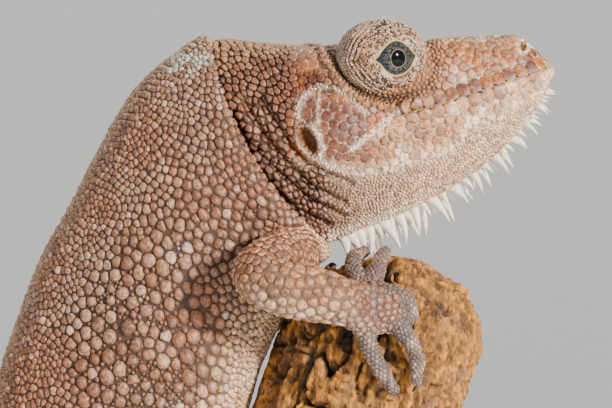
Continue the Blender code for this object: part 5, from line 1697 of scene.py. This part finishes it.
def start_material(name, roughness, scale, stretch, bump, distance):
    """A material with a Principled shader, the grain and its bump."""
    material = bpy.data.materials.new(name)
    material.use_nodes = True
    tree = material.node_tree
    shader = tree.nodes["Principled BSDF"]
    shader.inputs["Roughness"].default_value = roughness
    grain = grain_node(tree, scale, stretch)
    bumper = new_node(tree, "ShaderNodeBump", {"Strength": bump, "Distance": distance,
                                               "Height": grain.outputs["Height"]})
    tree.links.new(bumper.outputs["Normal"], shader.inputs["Normal"])
    return material, tree, shader, grain.outputs["Shade"]


def attribute(tree, name, output="Fac"):
    """A value or colour that the mesh carries."""
    return new_node(tree, "ShaderNodeAttribute", attribute_name=name).outputs[output]


def mixed(tree, factor, first, second, mode="MIX"):
    """A colour mix: its factor a socket or number, and its two others sockets or colours."""
    first, second = (value if isinstance(value, bpy.types.NodeSocket) else (*value, 1.0)
                     for value in (first, second))
    return new_node(tree, "ShaderNodeMix", {0: factor, 6: first, 7: second},
                    data_type="RGBA", blend_type=mode).outputs[2]


def ranged(tree, value, low, high, to_low, to_high):
    """A value carried from one range to another and held at its ends."""
    return new_node(tree, "ShaderNodeMapRange", {"Value": value, "From Min": low, "From Max": high,
                                                 "To Min": to_low, "To Max": to_high}).outputs["Result"]


def brighter(tree, colour, value):
    """A colour times a value."""
    return new_node(tree, "ShaderNodeVectorMath", {0: colour, "Scale": value}, operation="SCALE").outputs[0]


def coat_material():
    """Scales: the ground colour, a rim towards the edge, a tone for each scale and fine mottling."""
    roughness = bpy.context.scene.anole_finish.scale_roughness
    material, tree, shader, shade = start_material("scales", roughness, 1500, (1, 1, 1), 0.35, 0.0002)
    edge = ranged(tree, attribute(tree, "edge"), 0.35, 0.95, 0.0, 1.0)
    colour = mixed(tree, edge, attribute(tree, "ground", "Color"), attribute(tree, "rim", "Color"))
    colour = brighter(tree, colour, ranged(tree, attribute(tree, "tone"), 0, 1, 0.66, 1.3))
    colour = brighter(tree, colour, ranged(tree, shade, 0, 1, 0.54, 1.36))
    patch, fleck = (grain_node(tree, scale).outputs["Shade"] for scale in (1700, 3600))
    tint = mixed(tree, patch, (1.27, 0.93, 0.54), (0.80, 0.84, 0.98))
    colour = mixed(tree, 1.0, colour, tint, "MULTIPLY")
    colour = brighter(tree, colour, ranged(tree, patch, 0, 1, 0.82, 1.2))
    colour = brighter(tree, colour, ranged(tree, fleck, 0.5, 0.95, 1.1, 0.45))
    tree.links.new(colour, shader.inputs["Base Color"])
    rough = ranged(tree, shade, 0, 1, roughness - 0.1, roughness + 0.12)
    tree.links.new(rough, shader.inputs["Roughness"])
    return material


def skin_material():
    """Skin between scales: its own colour, mottled, a little rougher than the scales."""
    material, tree, shader, shade = start_material("skin between scales", 0.7, 1800, (1, 1, 1), 0.5, 0.0002)
    colour = brighter(tree, attribute(tree, "gap", "Color"), ranged(tree, shade, 0, 1, 0.7, 1.2))
    tree.links.new(colour, shader.inputs["Base Color"])
    return material


def plain_material(name, colour, other, roughness, scale, stretch=(1, 1, 1), bump=0.3, metallic=0.0):
    """Two colours mixed by the grain, as on horn, lids' edges, lips, paint and steel."""
    material, tree, shader, shade = start_material(name, roughness, scale, stretch, bump, 0.0002)
    tree.links.new(mixed(tree, shade, colour, other), shader.inputs["Base Color"])
    shader.inputs["Metallic"].default_value = metallic
    return material


def eye_material():
    """An eye: a black pupil, a thin gold ring and a dark iris with paler flecks, under a wet coat."""
    look = bpy.context.scene.anole_colours
    material, tree, shader, shade = start_material("eye", 0.12, 2600, (1, 1, 1), 0.05, 0.0001)
    swing = attribute(tree, "swing")
    colour = mixed(tree, ranged(tree, shade, 0.2, 0.9, 0, 1), look.iris, np.array(look.finger) * 0.7)
    colour = mixed(tree, ranged(tree, swing, 1.8, 3.2, 0, 0.85), colour, look.eye_edge)
    for inner, low, high in ((look.gold, 0.17, 0.23), ((0.02, 0.014, 0.009), 0.12, 0.17),
                             ((0.002, 0.003, 0.004), -0.04, 0.04)):
        colour = mixed(tree, ranged(tree, swing, PUPIL_TALL + low, PUPIL_TALL + high, 0, 1), inner, colour)
    tree.links.new(colour, shader.inputs["Base Color"])
    for name, value in (("Specular IOR Level", 0.05), ("Coat Weight", 0.09), ("Coat Roughness", 0.03)):
        shader.inputs[name].default_value = value
    return material


def bark_material():
    """Weathered wood: dark wood and painted shade in its cracks, orange brown on its ridges, with streaks
    down the grain.
    """
    look = bpy.context.scene.anole_colours
    material, tree, shader, shade = start_material("weathered wood", 0.8, 620, (1, 1, 0.4), 1.0, 0.0009)
    low = attribute(tree, "low")
    patch, speck = (grain_node(tree, scale, (1, 1, 0.6)).outputs["Shade"] for scale in (240, 1500))
    streak = mixed(tree, shade, look.wood, look.wood_light)
    streak = mixed(tree, ranged(tree, patch, 0.5, 0.9, 0.0, 0.75), streak, look.wood_grey)
    colour = mixed(tree, ranged(tree, low, -2.4, -0.95, 0, 1), look.wood_dark, streak)
    # Painted shade: the deeper the bark lies in its cracks, the darker it is made.
    colour = brighter(tree, colour, ranged(tree, low, -1.1, -0.3, 0.62, 1.12))
    colour = brighter(tree, colour, ranged(tree, speck, 0, 1, 0.42, 1.3))
    tree.links.new(colour, shader.inputs["Base Color"])
    return material


# Settings that a user would change.
def colour_property(name, words, red, green, blue):
    return bpy.props.FloatVectorProperty(name=name, description=words, subtype="COLOR", size=3,
                                         default=tuple(srgb(red, green, blue)), min=0.0, max=1.0)


def length_property(name, words, millimetres):
    return bpy.props.FloatProperty(name=name, description=words, default=millimetres * MM, min=0.0,
                                   subtype="DISTANCE", unit="LENGTH", precision=5)


def power_property(name, words, watts):
    return bpy.props.FloatProperty(name=name, description=words, default=watts, min=0.0, unit="POWER")


class AnoleSizes(bpy.types.PropertyGroup):
    """Sizes of the coat, in metres."""
    coat_depth: length_property("Coat depth", "How far the skin lies inside the solids", 0.33)
    skin_voxel: length_property("Skin voxel", "Size of the body skin's voxels", 0.71)
    head_plate: length_property("Head plate", "Width of the plates of the head", 1.72)
    throat_grain: length_property("Throat grain", "Width of the grains of the throat", 0.66)
    neck_scale: length_property("Neck scale", "Width of the scales of the neck", 1.36)
    flank_scale: length_property("Flank scale", "Width of the domes of the flank", 2.65)
    lid_grain: length_property("Lid grain", "Width of the grains of the lids", 0.385)
    limb_scale: bpy.props.FloatProperty(name="Limb scale", default=1.0, min=0.3, max=3.0, subtype="FACTOR",
                                        description="Scales of the limbs and tail, by a factor")


class AnoleColours(bpy.types.PropertyGroup):
    """Colours of the animal and its branch."""
    head: colour_property("Head", "Plates of the head", 0.49, 0.29, 0.17)
    orange: colour_property("Orange", "Orange plates by the eye and lips", 0.58, 0.34, 0.05)
    crown: colour_property("Crown", "Crown and crest", 0.58, 0.46, 0.33)
    cheek: colour_property("Cheek", "Plates of the cheek", 0.38, 0.22, 0.17)
    jaw: colour_property("Jaw", "Plates of the lower jaw", 0.70, 0.52, 0.37)
    throat: colour_property("Throat", "Grains of the throat", 0.76, 0.65, 0.55)
    speckle: colour_property("Speckle", "Dark grains", 0.22, 0.11, 0.05)
    neck: colour_property("Neck", "Scales of the neck", 0.41, 0.26, 0.19)
    white: colour_property("White", "Pale lines and rims", 0.86, 0.80, 0.74)
    ear: colour_property("Ear", "Floor of the ear and the nostril", 0.38, 0.22, 0.08)
    lid: colour_property("Lid", "Grains of the lids", 0.84, 0.67, 0.53)
    flank: colour_property("Flank", "Domes of the flank", 0.52, 0.35, 0.25)
    grey: colour_property("Grey flank", "Greyer domes of the flank", 0.52, 0.41, 0.34)
    between: colour_property("Between", "Skin between the scales", 0.24, 0.13, 0.05)
    belly: colour_property("Belly", "Chest and belly", 0.80, 0.70, 0.60)
    frost: colour_property("Frost", "Pale patch over the shoulder", 0.70, 0.76, 0.72)
    arm: colour_property("Arm", "Scales of the limbs", 0.52, 0.33, 0.23)
    finger: colour_property("Finger", "Scales of the fingers and toes", 0.42, 0.37, 0.36)
    horn: colour_property("Spines", "Spines of the beard", 0.88, 0.84, 0.76)
    claw: colour_property("Claw", "Claws", 0.22, 0.17, 0.13)
    lip: colour_property("Lip", "Edges of the lips and lids", 0.66, 0.60, 0.28)
    iris: colour_property("Iris", "Iris", 0.07, 0.10, 0.11)
    eye_edge: colour_property("Eye edge", "Edge of the eyeball", 0.08, 0.15, 0.17)
    gold: colour_property("Gold", "Ring round the pupil", 0.62, 0.55, 0.36)
    wood: colour_property("Wood", "Wood of the branch", 0.44, 0.26, 0.08)
    wood_light: colour_property("Light wood", "Worn ridges of the branch", 0.76, 0.50, 0.16)
    wood_grey: colour_property("Grey wood", "Weathered patches of the branch", 0.46, 0.33, 0.22)
    wood_dark: colour_property("Dark wood", "Cracks of the branch", 0.13, 0.07, 0.04)


class AnoleFinish(bpy.types.PropertyGroup):
    """Finish of the materials and strength of the studio's light."""
    scale_roughness: bpy.props.FloatProperty(name="Scale roughness", description="Roughness of the scales",
                                             default=0.44, min=0.0, max=1.0, subtype="FACTOR")
    key_power: power_property("Key light", "Power of the key light", 31.0)
    fill_power: power_property("Fill light", "Power of the fill light", 4.0)
    roof_power: power_property("Roof light", "Power of the soft light overhead", 64.0)
    world_strength: bpy.props.FloatProperty(name="Sky", description="Strength of the plain sky",
                                            default=0.32, min=0.0, max=10.0)


def dress(obj, material, *nodes):
    """The piece takes its material, rides with the model and stands for the nodes named."""
    obj.data.materials.append(material)
    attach(obj, "root")
    if nodes:
        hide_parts(*nodes)
    return obj


FLESH = ("head", "jaw", "neck", "torso", "tail_1", "tail_2", "tail_3", "tail_4",
         "upper_arm_right", "forearm_right", "hand_right", "thigh_right", "shank_right", "foot_right",
         "upper_arm_left", "forearm_left", "hand_left", "thigh_left", "shank_left", "foot_left")


class ANOLE_OT_skin(bpy.types.Operator):
    """Make the one skin of the animal, from the snout to the tail's tip and the toes"""
    bl_idname = "anole.skin"
    bl_label = "Skin"

    def execute(self, context):
        tables.cache_clear()
        head = tables()["head"]
        u, v = np.meshgrid(np.linspace(0, 1, 190), np.arange(156) / 156, indexing="ij")
        points, quads = body_skin(context.scene.anole_sizes.skin_voxel)
        forms = [closed_form(read(head, u, v) - 0.10 * read(normals_of(head), u, v)),
                 (points, quads, np.empty((0, 3), int))]
        for side, word in SIDES:
            table = tables()["lids_" + word][::2, ::3]
            turn = circle(table.shape[1])[None]
            angle = np.linspace(DOME_END, DOME_BACK, 8)[1:, None]
            back = eye_places(side, turn, angle + 0 * turn, dome_radius(turn, angle) - size_of("coat_depth"))
            if np.linalg.norm(back[0] - table[-1], axis=1).max() > 2:
                back = np.concatenate([back[:, :1], back[:, :0:-1]], axis=1)
            forms.append(closed_form(np.concatenate([table, back])))
        obj = make_object("anole_skin", *joined(forms))
        set_value(obj, "part", np.repeat((0, 1, 2, 2), [len(form[0]) for form in forms]))
        dress(obj, skin_material(), *FLESH)
        return {"FINISHED"}


class ANOLE_OT_coat(bpy.types.Operator):
    """Make the scales of every part of the body and colour the skin between them"""
    bl_idname = "anole.coat"
    bl_label = "Scales"

    def execute(self, context):
        rng = np.random.default_rng(SEED + 9)
        material = coat_material()
        head, lids, body = head_seeds(), lids_seeds(), body_seeds()
        spread(head, head_marks_and_shade(head["place"]))
        lid_gap, body_gap = spread(lids, lids_marks_and_light(lids)), spread(body, body_marks(body))
        fine = head.pop("fine")
        for name, profile, keep in (("head_plates", "plate", ~fine), ("head_grains", "grain", fine)):
            reach = outlines(head, profile)
            dress(make_coat(name, pick(head, keep), profile, reach[keep], head_marks_and_shade), material)
        dress(make_coat("lid_grains", lids, "grain", outlines(lids, "grain")), material)
        trunk = body["region"] == REGIONS.index("trunk")
        grains = between(pick(body, trunk), rng, 2.1)
        put(grains, height=0.5 * grains["size"], cap=1.0, gap=0.04)
        grains["ground"] = grains["ground"] * 0.75
        both = together([body, grains])
        reach = outlines(both, "dome")[:len(trunk)]
        body["bend"] = both["bend"][:len(trunk)]
        right, fore = body["place"][:, 1] < 0, body["place"][:, 2] > np.median(body["place"][trunk, 2])
        for name, near in (("right_fore", right & fore), ("right_hind", right & ~fore),
                           ("left_fore", ~right & fore), ("left_hind", ~right & ~fore)):
            keep = trunk & near
            dress(make_coat("trunk_scales_" + name, pick(body, keep), "dome", reach[keep]), material)
        dress(make_coat("flank_grains", grains, "grain", outlines(grains, "grain")), material)
        reach = outlines(body, "keel")
        for name, kinds in (("arm_scales", ("upper", "forearm")), ("leg_scales", ("thigh", "shank")),
                            ("paw_scales", ("palm", "digit")), ("tail_scales", ("tail",))):
            keep = np.isin(body["region"], [REGIONS.index(kind) for kind in kinds])
            dress(make_coat(name, pick(body, keep), "keel", reach[keep]), material)
        skin = bpy.data.objects["anole_skin"]
        points = mesh_points(skin)
        part = gather(skin.data.attributes["part"].data, "value").round().astype(int)
        gap = np.zeros((len(points), 3))
        gap[part == 0] = head_marks_and_shade(points[part == 0])[2]
        for which, seeds, colours in ((1, body, body_gap), (2, lids, lid_gap)):
            tree = tree_of(seeds["place"])
            gap[part == which] = colours[[tree.find(place)[1] for place in points[part == which]]]
        inside = np.linalg.norm(np.stack(eye_off(points), -1), axis=-1) < EYE_RADIUS + 0.3
        gap[(part == 2) & inside] *= 0.3
        set_colour(skin, "gap", gap)
        return {"FINISHED"}


class ANOLE_OT_eyes(bpy.types.Operator):
    """Make both eyeballs and the thin rims of their lids"""
    bl_idname = "anole.eyes"
    bl_label = "Eyes"

    def execute(self, context):
        material = eye_material()
        for side, word in SIDES:
            form = eye_form(side)
            obj = make_object("eyeball_" + word, *form)
            off = form[0] - TURRET * (1, side, 1)
            _, forward, up = eye_frame(side)
            set_value(obj, "swing", np.hypot((off @ forward - 0.30) / PUPIL_NARROW, off @ up + 0.06))
            dress(obj, material, "eye_" + word)
        lip = palette()["lip"]
        edge = plain_material("lid and lip edges", lip * 0.8, lip * 1.2, 0.45, 1400)
        dress(make_object("lid_rims", *joined([lid_rim_form(side) for side, _ in SIDES])), edge)
        dress(make_object("lip_edges", *mouth_form()), edge)
        return {"FINISHED"}


class ANOLE_OT_spines(bpy.types.Operator):
    """Make the beard's spines, the crest and the claws"""
    bl_idname = "anole.spines"
    bl_label = "Spines and claws"

    def execute(self, context):
        colour = palette()
        horn = plain_material("spines", colour["horn"] * 0.82, colour["horn"], 0.5, 900, (1, 1, 0.4))
        ridge = plain_material("crest", colour["crown"] * 0.7, colour["crown"] * 1.15, 0.6, 900)
        claw = plain_material("claws", colour["claw"] * 0.6, colour["claw"] * 1.5, 0.3, 800)
        for name, form, material in (("beard", beard_form(), horn), ("crest", crest_form(), ridge),
                                     ("claws", claws_form(), claw)):
            dress(make_object(name, *form), material)
        return {"FINISHED"}


class ANOLE_OT_perch(bpy.types.Operator):
    """Make the cut length of branch with its cracked bark"""
    bl_idname = "anole.perch"
    bl_label = "Perch"

    def execute(self, context):
        *form, low = perch_form()
        obj = make_object("branch", *form)
        set_value(obj, "low", low)
        dress(obj, bark_material(), "perch")
        return {"FINISHED"}


class ANOLE_OT_stand(bpy.types.Operator):
    """Make the round plinth and the rod that hold the branch"""
    bl_idname = "anole.stand"
    bl_label = "Stand"

    def execute(self, context):
        floor = -ORIGIN[2]
        top = floor + BASE_HEIGHT
        base = np.concatenate([[(BASE_RADIUS - 1.0, floor), (BASE_RADIUS, floor + 1.0)],
                               round_edge(BASE_RADIUS, top, 1.4, 9), [(40.0, top), (20.0, top), (8.0, top)]])
        paint = plain_material("painted plinth", srgb(0.16, 0.16, 0.165), srgb(0.20, 0.20, 0.205), 0.42, 300,
                               bump=0.15)
        dress(make_object("plinth", *turned_form(-ORIGIN[0], base)), paint, "stand_base")
        steel = plain_material("brushed steel", srgb(0.55, 0.55, 0.56), srgb(0.66, 0.66, 0.67), 0.32, 500,
                               (1, 1, 0.05), 0.1, 1.0)
        rod = [(ROD_RADIUS - 0.3, top), (ROD_RADIUS, top + 0.3), (ROD_RADIUS, BRANCH_FOOT - 0.6),
               (ROD_RADIUS - 0.3, BRANCH_FOOT - GAP)]
        dress(make_object("rod", *turned_form(ROD_X, rod, 72)), steel, "stand_rod")
        return {"FINISHED"}


class ANOLE_OT_stage(bpy.types.Operator):
    """Make the pale floor, the studio's light and the camera at the photograph's place"""
    bl_idname = "anole.stage"
    bl_label = "Stage"

    def execute(self, context):
        scene, finish = context.scene, context.scene.anole_finish
        floor, sides = -ORIGIN[2], 128
        rise = np.radians(np.linspace(0, 90, 24))
        bend = np.stack([2600 + 1200 * np.sin(rise), floor + 1200 * (1 - np.cos(rise))], 1)
        profile = np.concatenate([[(5.0, floor), (1000.0, floor)], bend, [(3800.0, floor + 2200)]])
        table = turned_table(-ORIGIN[0], profile, sides)
        points = np.concatenate([table.reshape(-1, 3), [[-ORIGIN[0], 0.0, floor]]])
        j = np.arange(sides)
        fan = np.stack([j, (j + 1) % sides, np.full(sides, len(points) - 1)], 1)
        stage = make_object("studio_floor", points, grid_quads(*table.shape[:2])[:, ::-1], fan)
        paper = plain_material("pale paper", (0.86, 0.86, 0.85), (0.88, 0.88, 0.87), 0.9, 60)
        stage.data.materials.append(paper)
        world = bpy.data.worlds.new("studio")
        world.use_nodes = True
        sky = world.node_tree.nodes["Background"]
        sky.inputs["Color"].default_value = (1.0, 0.99, 0.97, 1.0)
        sky.inputs["Strength"].default_value = finish.world_strength
        scene.world = world
        aim = Vector((0.012, 0.0, 0.205))
        for name, place, size, power, tint in (
                ("key", (0.74, -0.80, 0.46), 0.12, finish.key_power, (1.0, 0.97, 0.92)),
                ("fill", (-0.9, -0.9, 0.5), 1.0, finish.fill_power, (0.93, 0.96, 1.0)),
                ("back", (-0.5, 0.9, 0.9), 0.8, finish.fill_power * 1.5, (1.0, 1.0, 1.0)),
                ("roof", (0.012, 0.0, 2.9), 4.0, finish.roof_power, (1.0, 0.99, 0.97))):
            data = bpy.data.lights.new(name, "AREA")
            data.shape, data.size, data.energy, data.color = "DISK", size, power, tint
            lamp = bpy.data.objects.new(name, data)
            lamp.location = place
            lamp.rotation_euler = (aim - Vector(place)).to_track_quat("-Z", "Y").to_euler()
            scene.collection.objects.link(lamp)
        view = bpy.data.cameras.new("camera")
        view.sensor_width, view.lens = 36.0, 205.1
        view.clip_start, view.clip_end = 0.01, 20.0
        camera = bpy.data.objects.new("camera", view)
        camera.location = (ORIGIN * MM) - (0, CAMERA_AWAY * MM, 0)
        camera.rotation_euler = (math.radians(90), 0.0, 0.0)
        scene.collection.objects.link(camera)
        scene.camera = camera
        return {"FINISHED"}


class ANOLE_PT_panel(bpy.types.Panel):
    """The model's pieces and settings"""
    bl_label = "Bearded Anole"
    bl_idname = "ANOLE_PT_panel"
    bl_space_type = "VIEW_3D"
    bl_region_type = "UI"
    bl_category = "Anole"

    def draw(self, context):
        for group in ("anole_sizes", "anole_colours", "anole_finish"):
            settings = getattr(context.scene, group)
            box = self.layout.box()
            for name in settings.__annotations__:
                box.prop(settings, name)
        for operator in OPERATORS:
            self.layout.operator(operator.bl_idname)


OPERATORS = (ANOLE_OT_skin, ANOLE_OT_coat, ANOLE_OT_eyes, ANOLE_OT_spines, ANOLE_OT_perch, ANOLE_OT_stand,
             ANOLE_OT_stage)
GROUPS = (("anole_sizes", AnoleSizes), ("anole_colours", AnoleColours), ("anole_finish", AnoleFinish))


def register():
    for name, group in GROUPS:
        bpy.utils.register_class(group)
        setattr(bpy.types.Scene, name, bpy.props.PointerProperty(type=group))
    for part in (*OPERATORS, ANOLE_PT_panel):
        bpy.utils.register_class(part)


def unregister():
    for part in (ANOLE_PT_panel, *reversed(OPERATORS)):
        bpy.utils.unregister_class(part)
    for name, group in reversed(GROUPS):
        delattr(bpy.types.Scene, name)
        bpy.utils.unregister_class(group)


def main():
    register()
    bpy.ops.anole.skin()
    bpy.ops.anole.coat()
    bpy.ops.anole.eyes()
    bpy.ops.anole.spines()
    bpy.ops.anole.perch()
    bpy.ops.anole.stand()
    bpy.ops.anole.stage()


if __name__ == "__main__":
    main()
